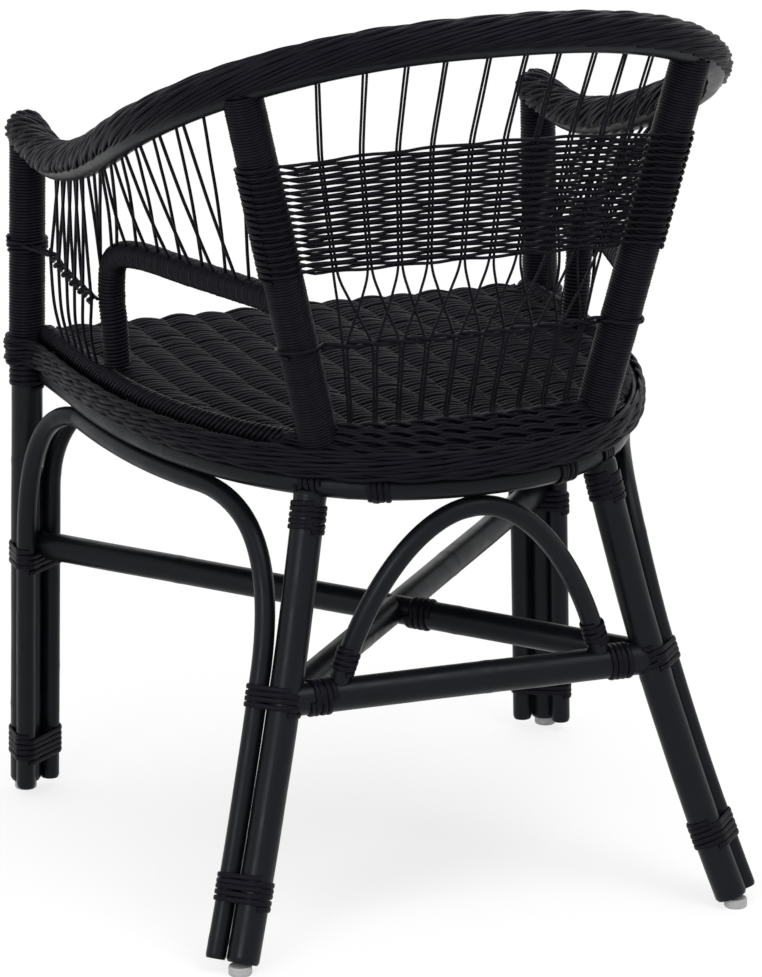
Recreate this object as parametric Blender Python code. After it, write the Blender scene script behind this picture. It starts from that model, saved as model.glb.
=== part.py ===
"""Rattan armchair: a bound pole frame, a woven seat and an openwork back under one braided rail.

Metres, +Z up, the chair faces -Y and +X is the sitter's left. Every pole, arch, wrap and
binding is its own object, and the pieces that meet take their places from the same sizes.
"""
import math

import bmesh
import bpy
import numpy as np
from mathutils import Vector
from mathutils.geometry import intersect_line_line

for old in list(bpy.data.objects):
    bpy.data.objects.remove(old, do_unlink=True)

# Fit between neighbours.
CLEARANCE = 0.0003
RAIL_CLEARANCE = 0.0005

# Poles and canes, by diameter.
POLE_DIAMETER = 0.028
ARCH_DIAMETER = 0.0175
HOOP_DIAMETER = 0.022
BACK_STRETCHER_DIAMETER = 0.028
CROSS_STRETCHER_DIAMETER = 0.025
SEAT_BAR_DIAMETER = 0.018
RAIL_DIAMETER = 0.025
ARM_LOOP_DIAMETER = 0.018
ROLL_DIAMETER = 0.0185
CANE_DIAMETER = 0.0028
TWINED_ROW_DIAMETER = 0.0066

# Wrapped cane on the posts and arm loops.
BACK_POST_WRAP = 0.0032
FRONT_POST_WRAP = 0.0020
ARM_LOOP_WRAP = 0.0030

# Flat cane of the bindings.
BINDING_WIDTH = 0.0043
BINDING_THICKNESS = 0.0017
BINDING_GAP = 0.0007
LOOP_POINTS = 8
BELT_STEPS = 360
HOOP_BEND_ROOM = 0.0009

# Heights.
GLIDE_HEIGHT = 0.008
HOOP_HEIGHT = 0.394
ROLL_OVER_HOOP = 0.035
WRAP_OVER_HOOP = 0.0285
SEAT_OVER_HOOP = 0.042
SKIRT_OVER_HOOP = 0.0505
BACK_RAIL_HEIGHT = 0.783
ARM_HEIGHT = 0.607
ARM_TIP_RISE = 0.010
ARM_RISE_POWER = 1.5
FRONT_JOINT_HEIGHT = 0.2247
BACK_JOINT_HEIGHT = 0.2165
CROSS_FRONT_HEIGHT = 0.2345
CROSS_BACK_HEIGHT = 0.2180
FOOT_BINDING_HEIGHT = 0.046
BACK_FOOT_BINDING_HEIGHT = 0.064

# Plan of the seat hoop.
HOOP_FRONT_HALF_WIDTH = 0.2320
HOOP_HALF_WIDTH = 0.2300
HOOP_MIDDLE_Y = -0.140
HOOP_BACK_Y = 0.223
HOOP_POWER = 2.3

# Plan of the top rail.
RAIL_TIP_HALF_WIDTH = 0.2430
RAIL_HALF_WIDTH = 0.2580
RAIL_MIDDLE_Y = 0.040
RAIL_BACK_Y = 0.2652
RAIL_POWER = 2.3
ARM_DIP_Y = -0.176
ARM_TIP_Y = -0.2640
BRAID_HALF_WIDTH = 0.0190
BRAID_TOP = 0.0180
BRAID_LIP_DROP = 0.0090
CORE_DROP = 0.0050

# Front and back legs.
FRONT_POST_Y = -0.2455
FRONT_FOOT_X = 0.2570
LEG_FOOT_X = 0.2265
LEG_FOOT_Y = 0.2627
LEG_TOP_Y = 0.1740
LEG_BOW = 0.0085
BACK_POST_FOOT_X = 0.1255
BACK_POST_FOOT_Y = 0.1795
BACK_POST_TOP_Y = 0.2030
GLIDE_DIAMETER = 0.020

# Thin arches under the hoop and the front rail.
ARCH_STRAIGHT_TOP = 0.240
ARCH_MEETS_HOOP_Y = -0.150
ARCH_LEAVES_HOOP_Y = 0.065
SIDE_ARCH_BESIDE_FRONT = Vector((0.29, 0.957, 0))
SIDE_ARCH_BESIDE_BACK = Vector((0.861, -0.508, 0))
FRONT_ARCH_STRAIGHT_TOP = 0.285
FRONT_ARCH_BEND = 0.100
BACK_ARCH_HALF_SPAN = 0.120
BACK_ARCH_POWER = 1.3

# Seat.
SEAT_FRONT_Y = -0.2510
DECK_THICKNESS = 0.012
DECK_RIM_WIDTH = 0.009
RIDGE_PITCH = 0.0308
RIDGE_HEIGHT = 0.0028
RIDGE_TAPER = 0.835
SEAT_BAR_X = 0.082
SEAT_BAR_DROP = 0.006
APRON_REACH = 0.0190
APRON_BOTTOM = 0.006
APRON_ROUND = 0.0025
APRON_TOP_SHARE = 0.7
SKIRT_THICKNESS = 0.016
STAKE_LINE_Y = 0.190
STAKE_ROOM = 0.0014

# Arm loops.
LOOP_FOOT_X = 0.2150
LOOP_FOOT_Y = -0.0840
LOOP_SPREAD = 0.2225
LOOP_RUN_HEIGHT = 0.5455
LOOP_REAR_RISE = 0.009
LOOP_BEND = 0.048

# Openwork of the back and the sides.
BACK_PAIRS = 10
BACK_SPREAD = 0.735
PAIR_GAP = 0.0004
BAND_BOTTOM_SHARE = 0.4180
BAND_TOP_SHARE = 0.7297
BAND_ARCH = 0.0145
BAND_THICKNESS = 0.0034
BAND_SWELL = 0.0066
BACK_ROW_SHARE = 0.2142
FRONT_SIDE_PAIRS = 5
FRONT_SIDE_TOP_SPAN = (-0.1465, -0.0641)
FRONT_SIDE_PAIR_STEP = 0.0095
FRONT_SIDE_ROW_SPAN = (-0.201, -0.089)
FRONT_SIDE_ROW_SHARES = (0.46, 0.36)
FRONT_SIDE_FOOT_SPAN = (-0.188, -0.098)
REAR_SIDE_CANES = 7
REAR_SIDE_TOP_SPAN = (0.041, 0.196)
REAR_SIDE_FOOT_SPAN = (-0.0728, 0.1297)
REAR_LEAN_BACK = 0.010
PAIR_LAP = 0.4
CANE_LAP = 0.25
NECK_ROOM = 0.012
MOST_NECK = 0.6

# Facets.
POLE_SIDES = 10
THIN_SIDES = 8
CANE_SIDES = 4
RAIL_STATIONS = 29
HOOP_STATIONS = 31
ARCH_STATIONS = 22
BACK_ARCH_STATIONS = 21
BEND_STATIONS = 6
LEG_STATIONS = 6
LOOP_STATIONS = 14
BRAID_FACETS = 8
SADDLE_FACETS = 6
RIDGE_STEPS = 4
BED_FACETS = 5
HAIR = 0.001

SIDES = (("left", 1), ("right", -1))
UP = Vector((0, 0, 1))

RAIL_RADIUS = RAIL_DIAMETER / 2
HOOP_RADIUS = HOOP_DIAMETER / 2
POLE_RADIUS = POLE_DIAMETER / 2
ARCH_RADIUS = ARCH_DIAMETER / 2
ROLL_RADIUS = ROLL_DIAMETER / 2
CROSS_RADIUS = CROSS_STRETCHER_DIAMETER / 2
BACK_STRETCHER_RADIUS = BACK_STRETCHER_DIAMETER / 2
BACK_WRAP_RADIUS = POLE_RADIUS + CLEARANCE + BACK_POST_WRAP
FRONT_WRAP_RADIUS = POLE_RADIUS + CLEARANCE + FRONT_POST_WRAP
LOOP_WRAP_RADIUS = ARM_LOOP_DIAMETER / 2 + ARM_LOOP_WRAP
ROLL_HEIGHT = HOOP_HEIGHT + ROLL_OVER_HOOP
POST_WRAP_FOOT = HOOP_HEIGHT + WRAP_OVER_HOOP
SEAT_HEIGHT = HOOP_HEIGHT + SEAT_OVER_HOOP
SKIRT_TOP = HOOP_HEIGHT + SKIRT_OVER_HOOP
BACK_ROW_HEIGHT = SKIRT_TOP + (BACK_RAIL_HEIGHT - SKIRT_TOP) * BACK_ROW_SHARE
BAND_BOTTOM = SKIRT_TOP + (BACK_RAIL_HEIGHT - SKIRT_TOP) * BAND_BOTTOM_SHARE
BAND_TOP = SKIRT_TOP + (BACK_RAIL_HEIGHT - SKIRT_TOP) * BAND_TOP_SHARE
ARCH_REST = HOOP_HEIGHT - HOOP_RADIUS - ARCH_RADIUS - CLEARANCE
BINDING_PITCH = BINDING_WIDTH + BINDING_GAP
BINDING_REACH = BINDING_THICKNESS + 2 * CLEARANCE
BINDING_FLARE = 1 / math.cos(math.pi / LOOP_POINTS)
BOUND_HOOP_RADIUS = (HOOP_RADIUS + HOOP_BEND_ROOM + BINDING_REACH) * BINDING_FLARE

# The frame stands centred over the origin: the braid's back and the arm tips set its depth.
chair = bpy.data.objects.new("chair", None)
chair.location.y = -(RAIL_BACK_Y + BRAID_HALF_WIDTH + ARM_TIP_Y) / 2
bpy.context.scene.collection.objects.link(chair)


def finish(name, colour, roughness):
    """A painted finish as a plain Principled material."""
    made = bpy.data.materials.new(name)
    made.use_nodes = True
    shader = made.node_tree.nodes["Principled BSDF"]
    shader.inputs["Base Color"].default_value = (*colour, 1)
    shader.inputs["Roughness"].default_value = roughness
    shader.inputs["Metallic"].default_value = 0.0
    made.diffuse_color = (*colour, 1)
    return made


POLE_PAINT = finish("black_pole", (0.013, 0.013, 0.016), 0.42)
CANE_PAINT = finish("black_cane", (0.010, 0.010, 0.012), 0.50)
WEAVE_PAINT = finish("black_weave", (0.008, 0.008, 0.010), 0.58)
GLIDE_GREY = finish("grey_glide", (0.30, 0.30, 0.31), 0.45)


def add(name, bm, material):
    """Turns a bmesh into a named piece of the chair, facing out."""
    bmesh.ops.remove_doubles(bm, verts=bm.verts, dist=1e-6)
    bmesh.ops.recalc_face_normals(bm, faces=bm.faces)
    mesh = bpy.data.meshes.new(name)
    bm.to_mesh(mesh)
    bm.free()
    mesh.materials.append(material)
    mesh.shade_smooth()
    mesh.set_sharp_from_angle(angle=math.radians(50))
    piece = bpy.data.objects.new(name, mesh)
    piece.parent = chair
    bpy.context.scene.collection.objects.link(piece)
    return piece


def hidden(piece):
    """Marks a cutter, which is no piece of the chair."""
    piece.hide_render = True
    piece.display_type = "WIRE"
    return piece


def cut(piece, *cutters):
    for cutter in cutters:
        step = piece.modifiers.new("cut", "BOOLEAN")
        step.operation = "DIFFERENCE"
        step.object = cutter


def fuse(piece, *others):
    """Joins other solids to a piece, and its own overlapping shells into one body."""
    for other in others:
        hidden(other)
        step = piece.modifiers.new("fuse", "BOOLEAN")
        step.operation = "UNION"
        step.use_self = True
        step.object = other


def common(piece, other):
    """Keeps only what a piece shares with another solid."""
    step = piece.modifiers.new("common", "BOOLEAN")
    step.operation = "INTERSECT"
    step.object = other


def circle(radius, sides):
    turn = 2 * math.pi / sides
    return [(radius * math.cos(i * turn), radius * math.sin(i * turn)) for i in range(sides)]


def tangents(path):
    ends = [path[0]] + path + [path[-1]]
    return [(after - before).normalized() for before, after in zip(ends, ends[2:])]


def frames(path, up):
    """Two cross axes at each point: level ones where up is given, else carried along without twist."""
    along = tangents(path)
    if up is not None:
        sides = [step.cross(up).normalized() for step in along]
    else:
        sides = [along[0].orthogonal().normalized()]
        for step in along[1:]:
            carried = sides[-1] - step * sides[-1].dot(step)
            sides.append(carried.normalized())
    return [(side, side.cross(step)) for side, step in zip(sides, along)]


def rings_along(bm, path, section, up, flat):
    """Rings of points along a path; a flat end is cut level instead of square."""
    along = tangents(path)
    rings = []
    for index, (centre, (side, lift)) in enumerate(zip(path, frames(path, up))):
        points = [centre + side * a + lift * b for a, b in section]
        if (flat[0] and index == 0) or (flat[1] and index == len(path) - 1):
            step = along[index]
            points = [p + step * ((centre.z - p.z) / step.z) for p in points]
        rings.append([bm.verts.new(p) for p in points])
    return rings


def skin(bm, rings):
    for first, second in zip(rings, rings[1:]):
        for i in range(len(first)):
            j = (i + 1) % len(first)
            bm.faces.new((first[i], first[j], second[j], second[i]))


def solid(bm, rings):
    """Skins a run of rings and closes both its ends."""
    skin(bm, rings)
    bm.faces.new(rings[0])
    bm.faces.new(rings[-1])


def ring_of(bm, points):
    return [bm.verts.new(p) for p in points]


def sweep_into(bm, path, section, up=None, flat=(False, False)):
    solid(bm, rings_along(bm, path, section, up, flat))


def sweep(name, path, section, material, up=None, flat=(False, False)):
    bm = bmesh.new()
    sweep_into(bm, path, section, up, flat)
    return add(name, bm, material)


def pole(name, path, radius, material=POLE_PAINT, sides=POLE_SIDES, flat=(False, False)):
    return sweep(name, path, circle(radius, sides), material, flat=flat)


def cutter(path, radius, sides=2 * POLE_SIDES):
    """A round cutter that clears a pole of this radius."""
    reach = (radius + CLEARANCE) / math.cos(math.pi / sides)
    return hidden(sweep("cutter", path, circle(reach, sides), POLE_PAINT))


def sleeve(name, path, inner, outer, material, sides=POLE_SIDES):
    """A tube with an open bore, for cane wrapped close round a pole."""
    bm = bmesh.new()
    shells = [rings_along(bm, path, circle(r, sides), None, (False, False)) for r in (outer, inner)]
    for rings in shells:
        skin(bm, rings)
    for end in (0, -1):
        skin(bm, [shells[0][end], shells[1][end]])
    return add(name, bm, material)


def block(name, low, high, material=POLE_PAINT):
    bm = bmesh.new()
    bmesh.ops.create_cube(bm, size=1)
    for vert in bm.verts:
        vert.co = Vector([low[k] if vert.co[k] < 0 else high[k] for k in range(3)])
    return add(name, bm, material)


def even(points, count):
    """The same line with its points spread evenly along its length."""
    spots = np.array([tuple(p) for p in points])
    length = np.concatenate([[0], np.cumsum(np.linalg.norm(np.diff(spots, axis=0), axis=1))])
    wanted = np.linspace(0, length[-1], count)
    return [Vector([np.interp(w, length, spots[:, k]) for k in range(3)]) for w in wanted]


def smooth(points, count):
    """A smooth line through hand-set points, with evenly spaced points along it."""
    ends = [2 * points[0] - points[1]] + list(points) + [2 * points[-1] - points[-2]]
    dense = []
    for a, b, c, d in zip(ends, ends[1:], ends[2:], ends[3:]):
        for k in range(12):
            t = k / 12
            bend = 2 * b + (c - a) * t + (2 * a - 5 * b + 4 * c - d) * t**2
            dense.append((bend + (3 * b - a - 3 * c + d) * t**3) / 2)
    return even(dense + [points[-1]], count)


def mix(a, b, share):
    return a + (b - a) * share


def half_u(front_half, half, front_y, middle_y, back_y, power):
    """Plan of half a U from its front end to the middle of its back: a taper, then a rounded back."""
    lean = (front_half - half) / (middle_y - front_y)
    points = [(half + lean * (middle_y - y), y) for y in np.linspace(front_y, middle_y, 24)]
    for turn in np.linspace(math.pi / 2, 0, 72)[1:]:
        y = middle_y + (back_y - middle_y) * max(math.cos(turn), 0) ** (2 / power)
        width = half + lean * (middle_y - y)
        points.append((width * max(math.sin(turn), 0) ** (2 / power), y))
    return np.array(points)


HOOP_PLAN = half_u(HOOP_FRONT_HALF_WIDTH, HOOP_HALF_WIDTH,
                   FRONT_POST_Y, HOOP_MIDDLE_Y, HOOP_BACK_Y, HOOP_POWER)
RAIL_PLAN = half_u(RAIL_TIP_HALF_WIDTH, RAIL_HALF_WIDTH,
                   ARM_TIP_Y, RAIL_MIDDLE_Y, RAIL_BACK_Y, RAIL_POWER)


def rail_height(y):
    """Height of the rail's centre: it dips over the arms, rises to the back and lifts at the tips."""
    if y < ARM_DIP_Y:
        return ARM_HEIGHT + ARM_TIP_RISE * ((ARM_DIP_Y - y) / (ARM_DIP_Y - ARM_TIP_Y)) ** 2
    share = (y - ARM_DIP_Y) / (RAIL_BACK_Y - ARM_DIP_Y)
    return ARM_HEIGHT + (BACK_RAIL_HEIGHT - ARM_HEIGHT) * share**ARM_RISE_POWER


def rail_point(y, side):
    x = float(np.interp(y, RAIL_PLAN[:, 1], RAIL_PLAN[:, 0]))
    return Vector((side * x, y, rail_height(y)))


def rail_point_at_x(x):
    back = RAIL_PLAN[RAIL_PLAN[:, 1] >= RAIL_MIDDLE_Y][::-1]
    y = float(np.interp(abs(x), back[:, 0], back[:, 1]))
    return Vector((x, y, rail_height(y)))


def hoop_point(y, side, height=HOOP_HEIGHT):
    x = float(np.interp(y, HOOP_PLAN[:, 1], HOOP_PLAN[:, 0]))
    return Vector((side * x, y, height))


def hoop_point_at_x(x):
    """A spot on the back half of the hoop, on the same straight steps as the hoop itself."""
    back = [p for p in HOOP_PATH if p.y > HOOP_MIDDLE_Y][::-1]
    return Vector((x, float(np.interp(x, [p.x for p in back], [p.y for p in back])), HOOP_HEIGHT))


def whole_u(plan, height_of, count):
    """The full U from the left front round the back to the right front."""
    half = [Vector((x, y, height_of(y))) for x, y in plan]
    return even(half + [Vector((-p.x, p.y, p.z)) for p in half[-2::-1]], count)


RAIL_PATH = whole_u(RAIL_PLAN, rail_height, RAIL_STATIONS)
HOOP_PATH = whole_u(HOOP_PLAN, lambda y: HOOP_HEIGHT, HOOP_STATIONS)


def shifted(path, outward, lift):
    """A level path moved sideways, away from the seat, and up."""
    return [p + side * outward + UP * lift for p, (side, _) in zip(path, frames(path, UP))]


def front_axis(z, side):
    """Axis of a front post at a height: it leans in from its foot to the rail."""
    foot = Vector((side * FRONT_FOOT_X, FRONT_POST_Y, 0))
    top = rail_point(FRONT_POST_Y, side)
    return mix(foot, top, z / top.z)


def leg_axis(z, side):
    """Axis of a back leg at a height: splayed, and bowed in towards the seat."""
    foot = Vector((side * LEG_FOOT_X, LEG_FOOT_Y, 0))
    top = hoop_point(LEG_TOP_Y, side)
    share = z / top.z
    splay = Vector((foot.x - top.x, foot.y - top.y, 0)).normalized()
    return mix(foot, top, share) - splay * LEG_BOW * 4 * share * (1 - share)


def post_axis(z, side):
    """Axis of a back post at a height, from the seat's corner out to the rail."""
    foot = Vector((side * BACK_POST_FOOT_X, BACK_POST_FOOT_Y, SEAT_HEIGHT))
    top = rail_point(BACK_POST_TOP_Y, side)
    return mix(foot, top, (z - foot.z) / (top.z - foot.z))


def direction(axis, z, side):
    return (axis(z + HAIR, side) - axis(z - HAIR, side)).normalized()


def beside(axis, z, side, towards, distance):
    """A step square to an axis, towards a plan direction given for the +X side."""
    along = direction(axis, z, side)
    aim = Vector((side * towards.x, towards.y, 0))
    return (aim - along * aim.dot(along)).normalized() * distance


THIN_BESIDE_POLE = POLE_RADIUS + ARCH_RADIUS + CLEARANCE
INWARD = Vector((-1, 0, 0))


def arch_step(axis, z, side):
    towards = SIDE_ARCH_BESIDE_FRONT if axis is front_axis else SIDE_ARCH_BESIDE_BACK
    return beside(axis, z, side, towards, THIN_BESIDE_POLE)


def belt(members, along):
    """One trip round a group of poles: for each point its turn, its outward aim and the pole that holds it.

    members gives each pole's step from the centre and its radius. Between two poles the cane
    runs straight, so the last point on one pole and the first on the next are kept.
    """
    first = along.orthogonal().normalized()
    second = along.cross(first)
    fine = []
    for turn in np.linspace(0, 2 * math.pi, BELT_STEPS, endpoint=False):
        aim = first * math.cos(turn) + second * math.sin(turn)
        fine.append((turn, aim, max(members, key=lambda m: m[0].dot(aim) + m[1])))
    kept = []
    for k, spot in enumerate(fine):
        neighbours = (fine[k - 1], fine[(k + 1) % BELT_STEPS])
        if k % (BELT_STEPS // LOOP_POINTS) == 0 or any(n[2] is not spot[2] for n in neighbours):
            kept.append(spot)
    return kept


def winding(name, centre, along, members, turns):
    """One flat cane wound round a group of poles."""
    loop = belt(members, along)
    half = along * BINDING_WIDTH / 2
    bm = bmesh.new()
    rings = []
    middle_line = []
    for count, (turn, aim, (step, radius)) in enumerate(loop * turns + loop[:1]):
        level = (count // len(loop) + turn / (2 * math.pi) - turns / 2) * BINDING_PITCH
        inner = centre + along * level + step + aim * (radius + CLEARANCE) * BINDING_FLARE
        outer = inner + aim * BINDING_THICKNESS
        rings.append(ring_of(bm, (inner - half, outer - half, outer + half, inner + half)))
        middle_line.append((inner + outer) / 2)
    solid(bm, rings)
    print(f"{name}: {turns} loops, least gap {1000 * least_gap(middle_line, len(loop)):.2f} mm")
    return add(name, bm, CANE_PAINT)


def least_gap(line, per_loop):
    """The least space between neighbouring loops, measured on the winding's points."""
    spots = np.array([tuple(p) for p in line])
    apart = np.linalg.norm(spots[:, None] - spots[None], axis=2)
    index = np.arange(len(spots))
    far = np.abs(index[:, None] - index[None]) >= per_loop // 2
    return float(apart[far].min()) - BINDING_WIDTH


def envelope(members, centre, along, length):
    """A cutter round a binding: the trip round its poles, out to past the cane."""
    bm = bmesh.new()
    rings = []
    for end in (centre - along * length / 2, centre + along * length / 2):
        reach = [end + step + aim * (radius + BINDING_REACH) * BINDING_FLARE
                 for _, aim, (step, radius) in belt(members, along)]
        rings.append(ring_of(bm, reach))
    solid(bm, rings)
    return hidden(add("cutter", bm, POLE_PAINT))


def front_members(z, side):
    return [
        (Vector(), POLE_RADIUS),
        (arch_step(front_axis, z, side), ARCH_RADIUS),
        (beside(front_axis, z, side, INWARD, THIN_BESIDE_POLE), ARCH_RADIUS),
    ]


def back_members(z, side):
    return [(Vector(), POLE_RADIUS), (arch_step(leg_axis, z, side), ARCH_RADIUS)]


def rail_outline(reach):
    """Outline of the braided rail, grown by a reach, as one closed section."""
    lip = math.asin(BRAID_LIP_DROP / BRAID_TOP)
    angles = np.linspace(-lip, math.pi + lip, BRAID_FACETS + 1)
    cover = [((BRAID_HALF_WIDTH + reach) * math.cos(a), (BRAID_TOP + reach) * math.sin(a)) for a in angles]
    cover[0] = (cover[0][0], -BRAID_LIP_DROP - reach)
    cover[-1] = (cover[-1][0], -BRAID_LIP_DROP - reach)
    core = (RAIL_RADIUS + reach) / math.cos(math.pi / 2 / SADDLE_FACETS)
    start = math.pi + math.asin((BRAID_LIP_DROP - CORE_DROP + reach) / core)
    arc = np.linspace(start, 3 * math.pi - start, SADDLE_FACETS + 1)
    return cover + [(core * math.cos(a), core * math.sin(a) - CORE_DROP) for a in arc]


def lengthened(path, by):
    start = path[0] + (path[0] - path[1]).normalized() * by
    end = path[-1] + (path[-1] - path[-2]).normalized() * by
    return [start] + path[1:-1] + [end]


RAIL_ROOM = lengthened(RAIL_PATH, RAIL_DIAMETER)
RAIL_CUTTER = hidden(sweep("cutter", RAIL_ROOM, rail_outline(RAIL_CLEARANCE), POLE_PAINT, UP))
HOOP_CUTTER = cutter(HOOP_PATH, HOOP_RADIUS)
BOUND_HOOP_CUTTER = cutter(HOOP_PATH, BOUND_HOOP_RADIUS)
FRONT_RAIL_ENDS = [Vector((side * FRONT_FOOT_X, FRONT_POST_Y, HOOP_HEIGHT)) for side in (1, -1)]
FRONT_RAIL_CUTTER = cutter(FRONT_RAIL_ENDS, HOOP_RADIUS)
ROLL_PATH = [p + UP * (ROLL_HEIGHT - HOOP_HEIGHT) for p in HOOP_PATH]


def post_cutter(axis, low, high, side, radius):
    return cutter([axis(low, side), axis(high, side)], radius)


FRONT_POST_CUTTERS = [post_cutter(front_axis, 0, ARM_HEIGHT, side, FRONT_WRAP_RADIUS) for _, side in SIDES]
BOUND_POLE_RADIUS = (POLE_RADIUS + BINDING_REACH) * BINDING_FLARE
BOUND_POST_CUTTERS = [post_cutter(front_axis, 0, ARM_HEIGHT, side, BOUND_POLE_RADIUS) for _, side in SIDES]
BACK_POST_CUTTERS = [post_cutter(post_axis, HOOP_HEIGHT, BACK_RAIL_HEIGHT, side, BACK_WRAP_RADIUS)
                     for _, side in SIDES]


def stepped_post_cutter(side):
    """Clears a back post: its bare foot, and its wrap from where that starts."""
    bm = bmesh.new()
    rings = []
    bare = (POLE_RADIUS, HOOP_HEIGHT, POST_WRAP_FOOT)
    wrapped = (BACK_WRAP_RADIUS, POST_WRAP_FOOT, ARM_HEIGHT)
    for radius, low, high in (bare, wrapped):
        path = [post_axis(low, side), post_axis(high, side)]
        rings += rings_along(bm, path, circle(radius + 2 * CLEARANCE, 2 * POLE_SIDES), None, (False, False))
    solid(bm, rings)
    return hidden(add("cutter", bm, POLE_PAINT))


def make_front_leg(word, side):
    """Front post with its wrap, and the glide under it."""
    start = GLIDE_HEIGHT + CLEARANCE
    top = rail_point(FRONT_POST_Y, side).z
    post = pole(f"front_post_{word}", [front_axis(start, side), front_axis(top, side)], POLE_RADIUS,
                flat=(True, False))
    cut(post, RAIL_CUTTER)
    wrap = sleeve(f"front_post_wrap_{word}", [front_axis(ROLL_HEIGHT, side), front_axis(top, side)],
                  POLE_RADIUS + CLEARANCE, FRONT_WRAP_RADIUS, CANE_PAINT)
    cut(wrap, RAIL_CUTTER)
    make_glide(f"front_glide_{word}", front_axis(0, side))


def make_glide(name, foot):
    path = [Vector((foot.x, foot.y, 0)), Vector((foot.x, foot.y, GLIDE_HEIGHT))]
    sweep(name, path, circle(GLIDE_DIAMETER / 2, POLE_SIDES), GLIDE_GREY)


def make_back_leg(word, side):
    start = GLIDE_HEIGHT + CLEARANCE
    heights = np.linspace(start, HOOP_HEIGHT - HOOP_RADIUS / 2, LEG_STATIONS)
    leg = pole(f"back_leg_{word}", [leg_axis(z, side) for z in heights], POLE_RADIUS, flat=(True, True))
    cut(leg, HOOP_CUTTER)
    make_glide(f"back_glide_{word}", leg_axis(0, side))


def bend(start, corner, end):
    """A rounded corner between two straight runs."""
    return [mix(mix(start, corner, t), mix(corner, end, t), t) for t in np.linspace(0, 1, BEND_STATIONS)]


def make_side_arch(word, side):
    """One thin pole: up behind the front post, back under the hoop, and down outside the back leg."""
    start = GLIDE_HEIGHT + CLEARANCE
    heights = np.linspace(start, ARCH_STRAIGHT_TOP, 5)
    front = [front_axis(z, side) + arch_step(front_axis, z, side) for z in heights]
    back = [leg_axis(z, side) + arch_step(leg_axis, z, side) for z in heights[::-1]]
    run = [hoop_point(y, side, ARCH_REST) for y in np.linspace(ARCH_MEETS_HOOP_Y, ARCH_LEAVES_HOOP_Y, 7)]
    corners = [axis(ARCH_REST, side) + arch_step(axis, ARCH_REST, side) for axis in (front_axis, leg_axis)]
    points = front + bend(front[-1], corners[0], run[0]) + run + bend(run[-1], corners[1], back[0]) + back
    path = even(points, ARCH_STATIONS)
    pole(f"side_arch_{word}", path, ARCH_RADIUS, sides=THIN_SIDES, flat=(True, True))


def make_front_arch():
    """One thin pole: up inside one front post, across under the front rail, and down inside the other."""
    foot, straight, corner = [front_axis(z, 1) + beside(front_axis, z, 1, INWARD, THIN_BESIDE_POLE)
                              for z in (GLIDE_HEIGHT + CLEARANCE, FRONT_ARCH_STRAIGHT_TOP, ARCH_REST)]
    half = [foot] + bend(straight, corner, corner + INWARD * FRONT_ARCH_BEND)
    path = half + [Vector((-p.x, p.y, p.z)) for p in half[::-1]]
    pole("front_arch", path, ARCH_RADIUS, sides=THIN_SIDES, flat=(True, True))


def make_hoop_and_bars():
    hoop = pole("seat_hoop", HOOP_PATH, HOOP_RADIUS)
    rail = pole("front_rail", FRONT_RAIL_ENDS, HOOP_RADIUS)
    for word, side in SIDES:
        joint = front_axis(HOOP_HEIGHT, side)
        along = direction(front_axis, HOOP_HEIGHT, side)
        winding(f"front_top_binding_{word}", joint, along, [(Vector(), POLE_RADIUS)], 5)
        make_seat_bar(word, side)
    cut(hoop, FRONT_RAIL_CUTTER, *BOUND_POST_CUTTERS)
    cut(rail, *BOUND_POST_CUTTERS)


def bar_seat(side):
    """Where a seat bar meets the hoop, and the hoop's direction there."""
    x = side * SEAT_BAR_X
    return hoop_point_at_x(x), (hoop_point_at_x(x + HAIR) - hoop_point_at_x(x - HAIR)).normalized()


def make_seat_bar(word, side):
    level = HOOP_HEIGHT - SEAT_BAR_DROP
    seat, along = bar_seat(side)
    front = FRONT_POST_Y + ARCH_RADIUS + CLEARANCE
    ends = [Vector((seat.x, front, level)), Vector((seat.x, seat.y, level))]
    bar = pole(f"seat_bar_{word}", ends, SEAT_BAR_DIAMETER / 2, sides=THIN_SIDES)
    cut(bar, FRONT_RAIL_CUTTER, BOUND_HOOP_CUTTER)
    winding(f"seat_bar_binding_{word}", seat, along, [(Vector(), HOOP_RADIUS + HOOP_BEND_ROOM)], 4)


def make_leg_bindings(word, side):
    """Cane round the grouped poles at the feet, at the stretchers and under the hoop."""
    for name, z, turns in (("foot", FOOT_BINDING_HEIGHT, 5), ("mid", FRONT_JOINT_HEIGHT, 4)):
        winding(f"front_{name}_binding_{word}", front_axis(z, side), direction(front_axis, z, side),
                front_members(z, side), turns)
    for name, z, turns in (("foot", BACK_FOOT_BINDING_HEIGHT, 5), ("mid", BACK_JOINT_HEIGHT, 4)):
        winding(f"back_{name}_binding_{word}", leg_axis(z, side), direction(leg_axis, z, side),
                back_members(z, side), turns)
    top = HOOP_HEIGHT - HOOP_RADIUS - 3.4 * BINDING_PITCH
    winding(f"back_top_binding_{word}", leg_axis(top, side), direction(leg_axis, top, side),
            [(Vector(), POLE_RADIUS)], 5)


def joint_cutters(side):
    """Cutters that clear the bound front and back joints of one side."""
    front = envelope(front_members(FRONT_JOINT_HEIGHT, side), front_axis(FRONT_JOINT_HEIGHT, side),
                     direction(front_axis, FRONT_JOINT_HEIGHT, side), 4 * POLE_DIAMETER)
    back = envelope(back_members(BACK_JOINT_HEIGHT, side), leg_axis(BACK_JOINT_HEIGHT, side),
                    direction(leg_axis, BACK_JOINT_HEIGHT, side), 3 * POLE_DIAMETER)
    return front, back


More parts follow.
